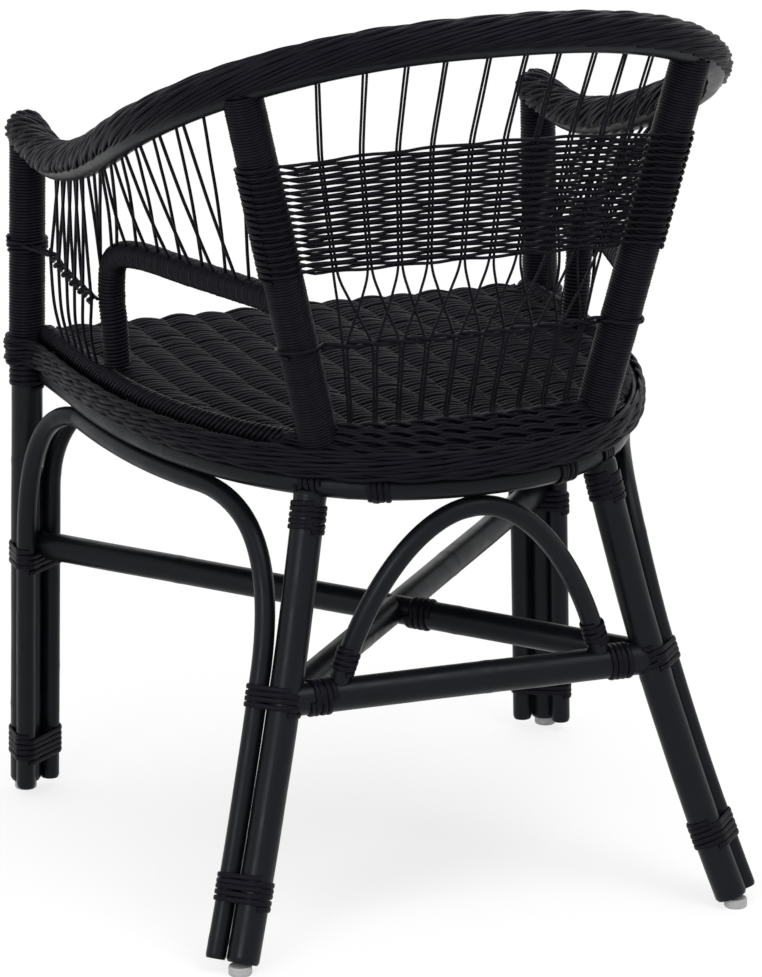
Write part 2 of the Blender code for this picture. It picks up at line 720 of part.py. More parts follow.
def make_stretchers():
    """The back stretcher, its arch, and two stretchers lapped where they cross."""
    fronts, backs = zip(*[joint_cutters(side) for _, side in SIDES])
    joints = [leg_axis(BACK_JOINT_HEIGHT, side) for _, side in SIDES]
    stretcher = pole("back_stretcher", joints, BACK_STRETCHER_RADIUS)
    bound = cutter(joints, (BACK_STRETCHER_RADIUS + BINDING_REACH) * BINDING_FLARE)
    cut(stretcher, *backs)
    ends = [(front_axis(CROSS_FRONT_HEIGHT, side), leg_axis(CROSS_BACK_HEIGHT, -side)) for _, side in SIDES]
    share = ends[0][0].x / (ends[0][0].x - ends[0][1].x)
    crossing = mix(ends[0][0], ends[0][1], share)
    for index, (name, upper) in enumerate((("lower", False), ("upper", True))):
        bar = pole(f"cross_stretcher_{name}", list(ends[index]), CROSS_RADIUS)
        cut(bar, fronts[index], backs[1 - index], bound, lap(ends[1 - index], crossing, upper))
    along = (ends[0][1] - ends[0][0]).normalized()
    beyond = crossing + along * (CROSS_RADIUS + 3 * BINDING_PITCH)
    winding("cross_binding", beyond, along, [(Vector(), CROSS_RADIUS)], 4)
    make_back_arch(joints, bound)


def lap(other_ends, crossing, upper):
    """A cutter for half of a pole's depth where the other stretcher passes."""
    across = other_ends[1] - other_ends[0]
    across = Vector((across.x, across.y, 0)).normalized()
    reach = CROSS_RADIUS + CLEARANCE
    low, high = (-2 * reach, CLEARANCE / 2) if upper else (-CLEARANCE / 2, 2 * reach)
    section = [(-reach, low), (reach, low), (reach, high), (-reach, high)]
    path = [crossing - across * 3 * CROSS_RADIUS, crossing + across * 3 * CROSS_RADIUS]
    return hidden(sweep("cutter", path, section, POLE_PAINT, UP))


def make_back_arch(joints, bound):
    """Thin arch from the back stretcher up to the hoop, bound at both feet."""
    base = (joints[0] + joints[1]) / 2
    crown = Vector((0, HOOP_BACK_Y, ARCH_REST))
    path = []
    for turn in np.linspace(0, math.pi, BACK_ARCH_STATIONS):
        rise = math.sin(turn)
        spot = mix(base, crown, rise)
        reach = BACK_ARCH_HALF_SPAN * math.sqrt(max(1 - rise**BACK_ARCH_POWER, 0))
        path.append(Vector((math.copysign(reach, math.cos(turn)), spot.y, spot.z)))
    arch = pole("back_arch", path, ARCH_RADIUS, sides=THIN_SIDES)
    cut(arch, bound)
    for word, side in SIDES:
        make_stretcher_end_binding(word, side)
        make_arch_foot_binding(word, side, path if side > 0 else path[::-1])


def make_stretcher_end_binding(word, side):
    """Cane round the back stretcher, just inside the bound leg."""
    inward = Vector((-side, 0, 0))
    turns = 4
    reach = (POLE_RADIUS + BINDING_REACH) * BINDING_FLARE + (turns / 2 + 1) * BINDING_PITCH
    middle = leg_axis(BACK_JOINT_HEIGHT, side) + inward * reach
    winding(f"stretcher_end_binding_{word}", middle, inward, [(Vector(), BACK_STRETCHER_RADIUS)], turns)


def make_arch_foot_binding(word, side, path):
    """Cane round a foot of the back arch, just above the bound stretcher."""
    turns = 4
    lengths = np.cumsum([0] + [(b - a).length for a, b in zip(path, path[1:])])
    where = (BACK_STRETCHER_RADIUS + BINDING_REACH) * BINDING_FLARE + (turns / 2 + 1) * BINDING_PITCH
    spot, after = [Vector([float(np.interp(w, lengths, [p[k] for p in path])) for k in range(3)])
                   for w in (where, where + HAIR)]
    along = (after - spot).normalized()
    winding(f"arch_foot_binding_{word}", spot, along, [(Vector(), ARCH_RADIUS)], turns)


def make_back_post(word, side):
    """Back post on the hoop, with its wrap from the seat to the rail."""
    top = rail_point(BACK_POST_TOP_Y, side).z
    ends = [post_axis(HOOP_HEIGHT + HOOP_RADIUS / 2, side), post_axis(top, side)]
    cut(pole(f"back_post_{word}", ends, POLE_RADIUS), HOOP_CUTTER, RAIL_CUTTER)
    wrapped = [post_axis(POST_WRAP_FOOT + 2 * CLEARANCE, side), post_axis(top, side)]
    inner = POLE_RADIUS + CLEARANCE
    cut(sleeve(f"back_post_wrap_{word}", wrapped, inner, BACK_WRAP_RADIUS, CANE_PAINT), RAIL_CUTTER)


def loop_path(side):
    """Arm loop: up from the seat's edge, forward-leaning, then back to the post in one bend."""
    foot = Vector((LOOP_FOOT_X, LOOP_FOOT_Y, ROLL_HEIGHT + ROLL_RADIUS + CLEARANCE))
    post = post_axis(LOOP_RUN_HEIGHT + LOOP_REAR_RISE, 1)
    corner = Vector((LOOP_SPREAD, LOOP_FOOT_Y, LOOP_RUN_HEIGHT))
    run = mix(corner, post, LOOP_BEND / (post - corner).length)
    points = [
        foot,
        mix(foot, corner, 0.35),
        corner - (corner - foot).normalized() * LOOP_BEND * 0.85,
        corner + ((run - corner) + (foot - corner).normalized() * LOOP_BEND) * 0.22,
        run,
        mix(run, post, 0.35),
        mix(run, post, 0.7),
        post,
    ]
    return [Vector((side * p.x, p.y, p.z)) for p in smooth(points, LOOP_STATIONS)]


LOOP_PATHS = {word: loop_path(side) for word, side in SIDES}
LOOP_CUTTERS = {word: cutter(path, LOOP_WRAP_RADIUS) for word, path in LOOP_PATHS.items()}


def make_arm_loop(word, index):
    """A thin pole under wrapped cane, which hides all of it, so both are one solid."""
    loop = pole(f"arm_loop_{word}", LOOP_PATHS[word], LOOP_WRAP_RADIUS, CANE_PAINT)
    cut(loop, BACK_POST_CUTTERS[index], level_cutter(ROLL_HEIGHT + ROLL_RADIUS + CLEARANCE))


def make_top_rail():
    """The rail's pole, set low, and the braid that covers its top and sides."""
    core = [spot - lift * CORE_DROP for spot, (_, lift) in zip(RAIL_PATH, frames(RAIL_PATH, UP))]
    pole("top_rail", core, RAIL_RADIUS)
    outer = rail_outline(0)[:BRAID_FACETS + 1]
    lip = math.asin((BRAID_LIP_DROP - CORE_DROP) / (RAIL_RADIUS + CLEARANCE))
    inner = (RAIL_RADIUS + CLEARANCE) / math.cos((math.pi / 2 + lip) / BRAID_FACETS)
    lining = [(inner * math.cos(a), inner * math.sin(a) - CORE_DROP)
              for a in np.linspace(math.pi + lip, -lip, BRAID_FACETS + 1)]
    sweep("top_rail_braid", RAIL_PATH, outer + lining, WEAVE_PAINT, UP)


def stake_line(u):
    """Where the back stakes meet the seat; u runs from -1 at one post to 1 at the other."""
    y = STAKE_LINE_Y - (STAKE_LINE_Y - BACK_POST_FOOT_Y) * u * u
    return Vector((u * BACK_POST_FOOT_X, y, SKIRT_TOP))


def make_deck():
    """Woven seat as a plate with a rim that sits on the hoop and the front rail."""
    inset = ROLL_RADIUS + CLEARANCE
    edge = shifted(HOOP_PATH, -inset, 0)
    front = [Vector((edge[k].x, SEAT_FRONT_Y, 0)) for k in (-1, 0)]
    outline = edge + front
    bm = bmesh.new()
    low = SEAT_HEIGHT - DECK_THICKNESS
    solid(bm, [ring_of(bm, [(p.x, p.y, z) for p in outline]) for z in (low, SEAT_HEIGHT)])
    deck = add("seat_deck", bm, WEAVE_PAINT)
    common(deck, make_ridges(low - DECK_THICKNESS))
    seat = math.sqrt((HOOP_RADIUS + CLEARANCE) ** 2 - min(inset, HOOP_RADIUS) ** 2)
    foot = HOOP_HEIGHT + seat + CLEARANCE
    lap_up = low + DECK_THICKNESS / 2
    section = [(-DECK_RIM_WIDTH, foot), (0, foot), (0, lap_up), (-DECK_RIM_WIDTH, lap_up)]
    level = [Vector((p.x, p.y, 0)) for p in shifted(HOOP_PATH, -inset - CLEARANCE, 0)]
    rim = sweep("rim", level, section, WEAVE_PAINT, UP)
    front_foot = HOOP_HEIGHT + HOOP_RADIUS + CLEARANCE
    half = HOOP_FRONT_HALF_WIDTH - POLE_RADIUS
    lip = block("front_rim", (-half, FRONT_POST_Y - DECK_RIM_WIDTH / 2, front_foot),
                (half, FRONT_POST_Y + DECK_RIM_WIDTH / 2, lap_up))
    fuse(deck, rim, lip)
    cut(deck, *BACK_POST_CUTTERS, behind_stakes(), FRONT_RAIL_CUTTER, *BOUND_POST_CUTTERS)


def make_ridges(base):
    """A block with one ridge over each rib of the weave, drawn closer together behind the middle."""
    across = math.ceil(HOOP_FRONT_HALF_WIDTH / RIDGE_PITCH) * RIDGE_STEPS
    bm = bmesh.new()
    rings = []
    for y, width in ((SEAT_FRONT_Y - HAIR, 1), (0, 1), (STAKE_LINE_Y + HAIR, RIDGE_TAPER)):
        row = []
        for step in range(-across, across + 1):
            rise = abs(math.sin(math.pi * step / RIDGE_STEPS)) - 1
            row.append((step / RIDGE_STEPS * RIDGE_PITCH * width, y, SEAT_HEIGHT + RIDGE_HEIGHT * rise))
        rings.append(ring_of(bm, row + [(row[end][0], y, base) for end in (-1, 0)]))
    solid(bm, rings)
    return hidden(add("ridges", bm, WEAVE_PAINT))


def behind_stakes():
    """A cutter for everything behind the stake line, with room for the skirt."""
    past_posts = 1.6
    line = [stake_line(u) - Vector((0, STAKE_ROOM, 0)) for u in np.linspace(-past_posts, past_posts, 17)]
    outline = line + [Vector((line[k].x, HOOP_BACK_Y + POLE_DIAMETER, 0)) for k in (-1, 0)]
    bm = bmesh.new()
    solid(bm, [ring_of(bm, [(p.x, p.y, z) for p in outline]) for z in (0, 2 * SEAT_HEIGHT)])
    return hidden(add("cutter", bm, WEAVE_PAINT))


def roll_path(side):
    """The hoop's own line lifted to the roll, from the front post to the back post's axis."""
    line = ROLL_PATH if side > 0 else ROLL_PATH[::-1]
    path = [p for p in line[:HOOP_STATIONS // 2] if abs(p.x) > BACK_POST_FOOT_X]
    before, after = path[-1], line[len(path)]
    share = (abs(before.x) - BACK_POST_FOOT_X) / (abs(before.x) - abs(after.x))
    return path + [mix(before, after, share)]


def make_rolls():
    """Wrapped rolls along both sides, over the hoop, from the front post to the back post."""
    for index, (word, side) in enumerate(SIDES):
        roll = pole(f"seat_roll_{word}", roll_path(side), ROLL_RADIUS, CANE_PAINT, sides=THIN_SIDES)
        cut(roll, FRONT_POST_CUTTERS[index], BACK_POST_CUTTERS[index])


def apron_path():
    """The hoop's line, with stops close before and behind each back post where the section changes."""
    change = POLE_RADIUS * 0.8
    stops = [side * BACK_POST_FOOT_X + step for side in (1, -1) for step in (change, -change)]
    path = []
    for a, b in zip(HOOP_PATH, HOOP_PATH[1:]):
        path.append(a)
        path += [mix(a, b, (a.x - x) / (a.x - b.x)) for x in stops if a.y > HOOP_MIDDLE_Y and b.x < x < a.x]
    return path + [HOOP_PATH[-1]]


def apron_section(spot, out):
    """Section of the apron: it sits on the hoop, bulges outwards, and carries the roll or the stakes."""
    lift = ROLL_HEIGHT - HOOP_HEIGHT
    edge = ROLL_RADIUS - CLEARANCE
    seat = (HOOP_RADIUS + CLEARANCE) / math.cos(math.pi / 2 / BED_FACETS)
    seat_arc = np.linspace(math.pi - math.acos(edge / seat), math.asin(APRON_BOTTOM / seat), BED_FACETS + 1)
    lower = [(seat * math.cos(a), seat * math.sin(a)) for a in seat_arc]
    top = lift * APRON_TOP_SHARE
    outer = [(APRON_REACH - APRON_ROUND, APRON_BOTTOM), (APRON_REACH, (APRON_BOTTOM + top) / 2),
             (APRON_REACH - APRON_ROUND, top)]
    if abs(spot.x) < BACK_POST_FOOT_X:
        return lower + outer + skirt(depth_to_stakes(spot, out), outer[-1], lower[0])
    bed = (ROLL_RADIUS + CLEARANCE) / math.cos(math.pi / 2 / BED_FACETS)
    bed_arc = np.linspace(-math.pi / 8, math.acos(edge / bed) - math.pi, BED_FACETS + 1)
    return lower + outer + [(bed * math.cos(a), lift + bed * math.sin(a)) for a in bed_arc]


def depth_to_stakes(spot, out):
    """How far inwards of the hoop the stake line lies, square to the hoop."""
    depth = 0
    for _ in range(6):
        depth = (spot.y - stake_line((spot - out * depth).x / BACK_POST_FOOT_X).y) / out.y
    return depth


def skirt(depth, start, end):
    """The apron's top between the back posts: up to the ledge under the stakes, then down to the hoop."""
    top = SKIRT_TOP - HOOP_HEIGHT
    low = top - SKIRT_THICKNESS
    ledge = (2 * CANE_DIAMETER - depth, top)
    rise = [tuple(a + (b - a) * share for a, b in zip(start, ledge)) for share in (1 / 3, 2 / 3)]
    under = ((end[0] - depth) / 2, (end[1] + low) / 2)
    return rise + [ledge, (-depth, top), (-depth, low), under]


def make_apron():
    """Woven apron round the hoop, widened at the back into the skirt the stakes stand on."""
    path = apron_path()
    bm = bmesh.new()
    rings = []
    for spot, (out, _) in zip(path, frames(path, UP)):
        rings.append(ring_of(bm, [spot + out * a + UP * b for a, b in apron_section(spot, out)]))
    solid(bm, rings)
    apron = add("seat_apron", bm, WEAVE_PAINT)
    for _, side in SIDES:
        cut(apron, bar_binding_cutter(side), stepped_post_cutter(side))
        cut(apron, cutter(roll_path(side)[-2:], ROLL_RADIUS))
    cut(apron, FRONT_RAIL_CUTTER, *BOUND_POST_CUTTERS)


def bar_binding_cutter(side):
    """Clears the cane that binds a seat bar to the hoop."""
    spot, along = bar_seat(side)
    reach = along * 2.7 * BINDING_PITCH
    return cutter([spot - reach, spot + reach], BOUND_HOOP_RADIUS)


def panel_point(u, z):
    """A point of the curved back panel between the posts."""
    post = post_axis(z, 1)
    low, high = stake_line(0), rail_point_at_x(0)
    middle = mix(low, high, (z - low.z) / (high.z - low.z))
    return Vector((u * post.x, middle.y - (middle.y - post.y) * u * u, z))


def canes(paths):
    """Canes of one net as overlapping shells in one bmesh."""
    bm = bmesh.new()
    for path in paths:
        sweep_into(bm, path, circle(CANE_DIAMETER / 2 / math.cos(math.pi / CANE_SIDES) ** 0.5, CANE_SIDES))
    return bm


def make_back_panel():
    """Paired stakes from the seat to the rail, crossed below the woven band and held by a twined row."""
    step = 2 * BACK_SPREAD / (BACK_PAIRS - 1)
    spots = [-BACK_SPREAD + i * step for i in range(BACK_PAIRS)]
    shift = (CANE_DIAMETER + PAIR_GAP) / 2 / BACK_POST_FOOT_X
    paths = []
    for i, u in enumerate(spots):
        for way in (-1, 1):
            lower = spots[i + way] - way * shift if 0 <= i + way < BACK_PAIRS else u + way * shift
            upper = u + way * shift * BACK_POST_FOOT_X / post_axis(BAND_TOP, 1).x
            top = panel_point(upper, rail_point_at_x(upper * post_axis(BACK_RAIL_HEIGHT, 1).x).z)
            foot = panel_point(lower, SKIRT_TOP + CLEARANCE)
            paths.append([top, panel_point(upper, band_edge(BAND_TOP, u)),
                          panel_point(upper, band_edge(BAND_BOTTOM, u)),
                          panel_point(lower, BACK_ROW_HEIGHT), foot])
    net = add("back_panel", canes(paths), WEAVE_PAINT)
    row = make_twined_row([panel_point(u, BACK_ROW_HEIGHT) for u in np.linspace(-1, 1, 9)])
    fuse(net, make_band(), row)
    cut(net, RAIL_CUTTER, *BACK_POST_CUTTERS, level_cutter(SKIRT_TOP + CLEARANCE))


def band_edge(height, u):
    """The band's edges arch up towards the middle of the back."""
    return height - BAND_ARCH * u * u


def make_band():
    """The close-woven band across the back, swollen where its weavers pass a pair of stakes."""
    step = BACK_SPREAD / (BACK_PAIRS - 1)
    beyond = int((1 - BACK_SPREAD) / step)
    bm = bmesh.new()
    rings = []
    for k in range(-beyond, 2 * BACK_PAIRS - 1 + beyond):
        u = k * step - BACK_SPREAD
        half = Vector((0, (BAND_THICKNESS if k % 2 else BAND_SWELL) / 2, 0))
        low, high = [panel_point(u, band_edge(height, u)) for height in (BAND_BOTTOM, BAND_TOP)]
        rings.append(ring_of(bm, (low - half, high - half, high + half, low + half)))
    solid(bm, rings)
    return add("band", bm, WEAVE_PAINT)


def make_twined_row(path):
    return pole("row", path, TWINED_ROW_DIAMETER / 2, WEAVE_PAINT, sides=6)


def level_cutter(level):
    return hidden(block("cutter", (-1, -1, level - 1), (1, 1, level)))


def at_y(line, y):
    """The point of a line at a y, for a line whose y only grows."""
    return Vector([float(np.interp(y, [p.y for p in line], [p[k] for p in line])) for k in range(3)])


def make_front_side_canes(word, side, index):
    """Canes ahead of the arm loop: each spot of the twined row holds two from the rail, one to the roll."""
    firsts = [rail_point(y, side) for y in np.linspace(*FRONT_SIDE_TOP_SPAN, FRONT_SIDE_PAIRS)]
    seconds = [rail_point(p.y + FRONT_SIDE_PAIR_STEP, side) for p in firsts]
    count = FRONT_SIDE_PAIRS + 1
    spots = zip(np.linspace(*FRONT_SIDE_ROW_SPAN, count), np.linspace(*FRONT_SIDE_ROW_SHARES, count))
    row = [mix(hoop_point(y, side, ROLL_HEIGHT), rail_point(y, side), share) for y, share in spots]
    feet = [hoop_point(y, side, ROLL_HEIGHT) for y in np.linspace(*FRONT_SIDE_FOOT_SPAN, count)]
    paths = [[top, spot] for top, spot in zip(seconds, row)]
    paths += [[top, spot, foot] for top, spot, foot in zip(firsts, row[1:], feet[1:])]
    paths.append([row[0], feet[0]])
    net = add(f"front_side_canes_{word}", canes(paths), WEAVE_PAINT)
    beyond = row[-1] + (row[-1] - row[-2]).normalized() * CANE_DIAMETER * 2
    fuse(net, make_twined_row([front_axis(row[0].z, side)] + row + [beyond]))
    cut(net, RAIL_CUTTER, FRONT_POST_CUTTERS[index], LOOP_CUTTERS[word], roll_cutter(side))


def make_rear_side_canes(word, side, index):
    """Canes from the rail to the arm loop: an upright from each top, and one that leans over the next."""
    edge = [rail_point(y, side) for y in np.linspace(*REAR_SIDE_TOP_SPAN, RAIL_STATIONS)]
    tops = even(edge, REAR_SIDE_CANES)
    run = [p for p in LOOP_PATHS[word] if p.z > LOOP_RUN_HEIGHT - LOOP_BEND / 2]
    spots = np.linspace(*REAR_SIDE_FOOT_SPAN, REAR_SIDE_CANES)
    reach = 2 * (spots[1] - spots[0]) - REAR_LEAN_BACK
    nudge = (tops[1] - tops[0]).normalized() * CANE_DIAMETER * PAIR_LAP
    aims = [at_y(run, y + reach / 2) for y in spots]
    uprights = [necked(top, aim, -nudge, at_y(run, y)) for top, aim, y in zip(tops, aims, spots)]
    leaning = [necked(top, aim, nudge, at_y(run, y + reach)) for top, aim, y in zip(tops, aims, spots[:-1])]
    for lean, upright in zip(leaning, uprights[1:]):
        near, far = intersect_line_line(*lean[1:], *upright[1:])
        across = (lean[2] - lean[1]).cross(upright[2] - upright[1]).normalized() * CANE_DIAMETER * CANE_LAP
        lean.insert(2, (near + far) / 2 + across)
        upright.insert(2, (near + far) / 2 - across)
    net = add(f"rear_side_canes_{word}", canes(uprights[1:] + leaning), WEAVE_PAINT)
    fuse(net, add("first_cane", canes(uprights[:1]), WEAVE_PAINT))
    cut(net, RAIL_CUTTER, LOOP_CUTTERS[word], BACK_POST_CUTTERS[index])


def necked(top, aim, nudge, foot):
    """A cane's path with a neck below the rail, where it lies against its neighbour."""
    share = min((RAIL_RADIUS + CORE_DROP + NECK_ROOM) / (top.z - aim.z), MOST_NECK)
    return [top + nudge, mix(top, aim, share) + nudge, foot]


def roll_cutter(side):
    return cutter(roll_path(side), ROLL_RADIUS)


make_hoop_and_bars()
make_front_arch()
make_stretchers()
make_top_rail()
make_deck()
make_rolls()
make_apron()
make_back_panel()
for order, (hand, sign) in enumerate(SIDES):
    make_front_leg(hand, sign)
    make_back_leg(hand, sign)
    make_side_arch(hand, sign)
    make_leg_bindings(hand, sign)
    make_back_post(hand, sign)
    make_arm_loop(hand, order)
    make_front_side_canes(hand, sign, order)
    make_rear_side_canes(hand, sign, order)
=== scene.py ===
# %% [markdown]
# # A black rattan armchair, strand by strand
# The measured frame of the chair is already packed. This lesson loads it and dresses it: poles
# with their joints, flat cane bindings, wound cane on the posts, a woven seat, an apron of twined
# rows, an openwork back and a braided rail. Almost every piece starts as a bare line, and one
# small node tree turns lines into cane. Curves drawn by hand would also do, but lines from
# formulas stay on the frame, and a size is changed in one place.

import math

import bpy
import numpy as np
from mathutils import Matrix, Vector


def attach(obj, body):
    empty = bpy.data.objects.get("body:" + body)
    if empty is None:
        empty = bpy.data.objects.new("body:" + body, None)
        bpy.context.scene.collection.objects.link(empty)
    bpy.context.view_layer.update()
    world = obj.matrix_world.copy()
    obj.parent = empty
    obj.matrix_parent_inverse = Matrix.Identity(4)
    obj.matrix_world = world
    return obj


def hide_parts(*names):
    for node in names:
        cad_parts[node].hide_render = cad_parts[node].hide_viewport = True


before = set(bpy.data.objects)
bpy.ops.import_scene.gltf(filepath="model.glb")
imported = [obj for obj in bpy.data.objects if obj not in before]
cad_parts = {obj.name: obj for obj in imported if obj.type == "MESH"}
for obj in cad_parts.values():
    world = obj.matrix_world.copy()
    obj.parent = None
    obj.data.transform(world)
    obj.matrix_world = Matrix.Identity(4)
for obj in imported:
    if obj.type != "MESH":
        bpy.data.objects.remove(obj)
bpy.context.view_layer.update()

# %% [markdown]
# ## Sizes
# Metres, +Z up. The chair faces -Y and +X is the sitter's left. The lines below are drawn in the
# chair's own plan, which sits a little ahead of the shared frame, so `PLAN_SHIFT` moves them.
# Sizes that many pieces share stand here; the others stand beside the piece that needs them.

# %% Shared sizes
PLAN_SHIFT = np.array((0.0, -0.0101, 0.0))
UP = np.array((0.0, 0.0, 1.0))
SIDES = (("left", 1), ("right", -1))
chance = np.random.default_rng(11)

POLE_RADIUS = 0.014
ARCH_RADIUS = 0.00875
HOOP_RADIUS = 0.011
ROLL_RADIUS = 0.00925

POLE_FOOT = 0.0083
ARCH_REST = 0.37395
HOOP_HEIGHT = 0.394
ROLL_HEIGHT = 0.429
SEAT_HEIGHT = 0.436
SKIRT_TOP = 0.4445
ARM_HEIGHT = 0.607
RAIL_BACK_HEIGHT = 0.783

FRONT_POST_Y = -0.2455
STAKE_Y = 0.190
HOOP_MIDDLE_Y = -0.140
HOOP_BACK_Y = 0.223
RAIL_MIDDLE_Y = 0.040
RAIL_BACK_Y = 0.2652
print("seat at", SEAT_HEIGHT, "m, rail at", RAIL_BACK_HEIGHT, "m")

# %% [markdown]
# ## Guide lines
# Each pole follows a line: the hoop and the rail are U shapes in plan, the legs are splayed and
# bowed, and the back posts lean out to the rail. They could be read off the CAD meshes, but
# formulas also give the direction at any spot, which the weaving needs. These are the same lines
# as the frame's.

# %% Line helpers
def unit(vector):
    return vector / np.linalg.norm(vector, axis=-1, keepdims=True)


def mix(a, b, share):
    return a + (b - a) * share


def lengths(path):
    """Distance along a path at each of its points."""
    return np.concatenate([[0], np.cumsum(np.linalg.norm(np.diff(path, axis=0), axis=1))])


def even(points, step):
    """The same line with points spread evenly, about one to each step."""
    points = np.asarray(points, float)
    run = lengths(points)
    wanted = np.linspace(0, run[-1], max(3, int(round(run[-1] / step)) + 1))
    return np.stack([np.interp(wanted, run, points[:, k]) for k in range(3)], axis=1)


def tangents(path):
    return unit(np.gradient(path, axis=0))


def outward(path):
    """Level directions square to a path, pointing away from the seat."""
    return unit(np.cross(tangents(path), UP))


print("a metre in 5 mm steps has", len(even([(0, 0, 0), (1, 0, 0)], 0.005)), "points")

# %% Plans of the hoop and the rail
HOOP_FRONT_HALF_WIDTH = 0.2320
HOOP_HALF_WIDTH = 0.2300
ARM_FRONT_HALF_WIDTH = 0.2430
RAIL_HALF_WIDTH = 0.2580
BEND_POWER = 2.3
ARM_TIP_Y = -0.264
ARM_DIP_Y = -0.176
ARM_TIP_LIFT = 0.010
RAIL_RISE_POWER = 1.5


def half_u(front_half, half, front_y, middle_y, back_y):
    """Plan of half a U, from its front end to the middle of its back."""
    lean = (front_half - half) / (middle_y - front_y)
    arm_y = np.linspace(front_y, middle_y, 40)
    turn = np.linspace(math.pi / 2, 0, 160)[1:]
    bend_y = middle_y + (back_y - middle_y) * np.clip(np.cos(turn), 0, 1) ** (2 / BEND_POWER)
    width = (half + lean * (middle_y - bend_y)) * np.clip(np.sin(turn), 0, 1) ** (2 / BEND_POWER)
    x = np.concatenate([half + lean * (middle_y - arm_y), width])
    return np.stack([x, np.concatenate([arm_y, bend_y])], axis=1)


def rail_height(y):
    """The rail dips over the arms, rises to the back and lifts a little at the tips."""
    tip = ARM_HEIGHT + ARM_TIP_LIFT * ((ARM_DIP_Y - y) / (ARM_DIP_Y - ARM_TIP_Y)) ** 2
    share = np.clip((y - ARM_DIP_Y) / (RAIL_BACK_Y - ARM_DIP_Y), 0, 1)
    rise = ARM_HEIGHT + (RAIL_BACK_HEIGHT - ARM_HEIGHT) * share**RAIL_RISE_POWER
    return np.where(y < ARM_DIP_Y, tip, rise)


def hoop_height(y):
    return np.full_like(y, HOOP_HEIGHT)


def whole_u(plan, height_of, step):
    """The full U from the left front round the back to the right front."""
    half = np.column_stack([plan, height_of(plan[:, 1])])
    return even(np.concatenate([half, half[-2::-1] * (-1, 1, 1)]), step)


HOOP_PLAN = half_u(HOOP_FRONT_HALF_WIDTH, HOOP_HALF_WIDTH, FRONT_POST_Y, HOOP_MIDDLE_Y, HOOP_BACK_Y)
RAIL_PLAN = half_u(ARM_FRONT_HALF_WIDTH, RAIL_HALF_WIDTH, ARM_TIP_Y, RAIL_MIDDLE_Y, RAIL_BACK_Y)
HOOP_PATH = whole_u(HOOP_PLAN, hoop_height, 0.005)
RAIL_PATH = whole_u(RAIL_PLAN, rail_height, 0.005)
for label, path in (("hoop", HOOP_PATH), ("rail", RAIL_PATH)):
    print(label, round(float(lengths(path)[-1]), 3), "m long")

# %% Points on the hoop and the rail
def rail_point(y, side):
    x = np.interp(y, RAIL_PLAN[:, 1], RAIL_PLAN[:, 0])
    return np.array((side * x, y, float(rail_height(y))))


def rail_point_at_x(x):
    back = RAIL_PLAN[RAIL_PLAN[:, 1] >= RAIL_MIDDLE_Y][::-1]
    y = np.interp(abs(x), back[:, 0], back[:, 1])
    return np.array((x, y, float(rail_height(y))))


def hoop_point(y, side, height=HOOP_HEIGHT):
    return np.array((side * np.interp(y, HOOP_PLAN[:, 1], HOOP_PLAN[:, 0]), y, height))


def hoop_point_at_x(x, height=HOOP_HEIGHT):
    back = HOOP_PLAN[HOOP_PLAN[:, 1] >= HOOP_MIDDLE_Y][::-1]
    return np.array((x, np.interp(abs(x), back[:, 0], back[:, 1]), height))


print("rail over the left front post:", rail_point(FRONT_POST_Y, 1).round(4))

# %% Axes of posts and legs
FRONT_FOOT_X = 0.2570
LEG_FOOT = np.array((0.2265, 0.2627, 0.0))
LEG_JOINT_Y = 0.1740
LEG_BOW = 0.0085
POST_FOOT = np.array((0.1255, 0.1795, SEAT_HEIGHT))
POST_TOP_Y = 0.2030


def front_axis(z, side):
    top = rail_point(FRONT_POST_Y, side)
    return mix(np.array((side * FRONT_FOOT_X, FRONT_POST_Y, 0)), top, z / top[2])


def leg_axis(z, side):
    """A back leg: splayed out to its foot, and bowed inwards by a little."""
    foot = LEG_FOOT * (side, 1, 1)
    top = hoop_point(LEG_JOINT_Y, side)
    share = z / HOOP_HEIGHT
    splay = unit((foot - top) * (1, 1, 0))
    return mix(foot, top, share) - splay * LEG_BOW * 4 * share * (1 - share)


def post_axis(z, side):
    top = rail_point(POST_TOP_Y, side)
    foot = POST_FOOT * (side, 1, 1)
    return mix(foot, top, (z - foot[2]) / (top[2] - foot[2]))


def along_axis(axis, z, side):
    return unit(axis(z + 0.001, side) - axis(z - 0.001, side))


print("left back post at the rail:", post_axis(RAIL_BACK_HEIGHT, 1).round(4))

# %% [markdown]
# ## From lines to cane
# Cane is a long round or flattened stick. A curve with a bevel would give it too, but here a piece
# begins as a mesh of bare edges, because its points can carry values: the cane's radius (`size`),
# its outward side (`out`) and a number for its strand. The node tree below turns the edges into
# curves, shakes them a little, and sweeps a section along them.

# %% Node helpers
def node(tree, kind, inputs=None, **settings):
    """Adds a node, sets its properties, and fills or links its inputs."""
    made = tree.nodes.new(kind)
    for name, value in settings.items():
        setattr(made, name, value)
    for name, value in (inputs or {}).items():
        if isinstance(value, bpy.types.NodeSocket):
            tree.links.new(value, made.inputs[name])
        else:
            made.inputs[name].default_value = value
    return made


def maths(tree, operation, a, b=0.0):
    return node(tree, "ShaderNodeMath", {0: a, 1: b}, operation=operation).outputs[0]


def vector_maths(tree, operation, a, b):
    return node(tree, "ShaderNodeVectorMath", {0: a, 1: b}, operation=operation).outputs[0]


def scaled(tree, vector, amount):
    return node(tree, "ShaderNodeVectorMath", {0: vector, "Scale": amount}, operation="SCALE").outputs[0]


def named(tree, label, kind="FLOAT"):
    return node(tree, "GeometryNodeInputNamedAttribute", {"Name": label}, data_type=kind).outputs[0]


def stored(tree, geometry, label, value):
    """Writes a value on the points, for the paint to read."""
    values = {"Geometry": geometry, "Name": label, "Value": value}
    return node(tree, "GeometryNodeStoreNamedAttribute", values, data_type="FLOAT", domain="POINT").outputs[0]


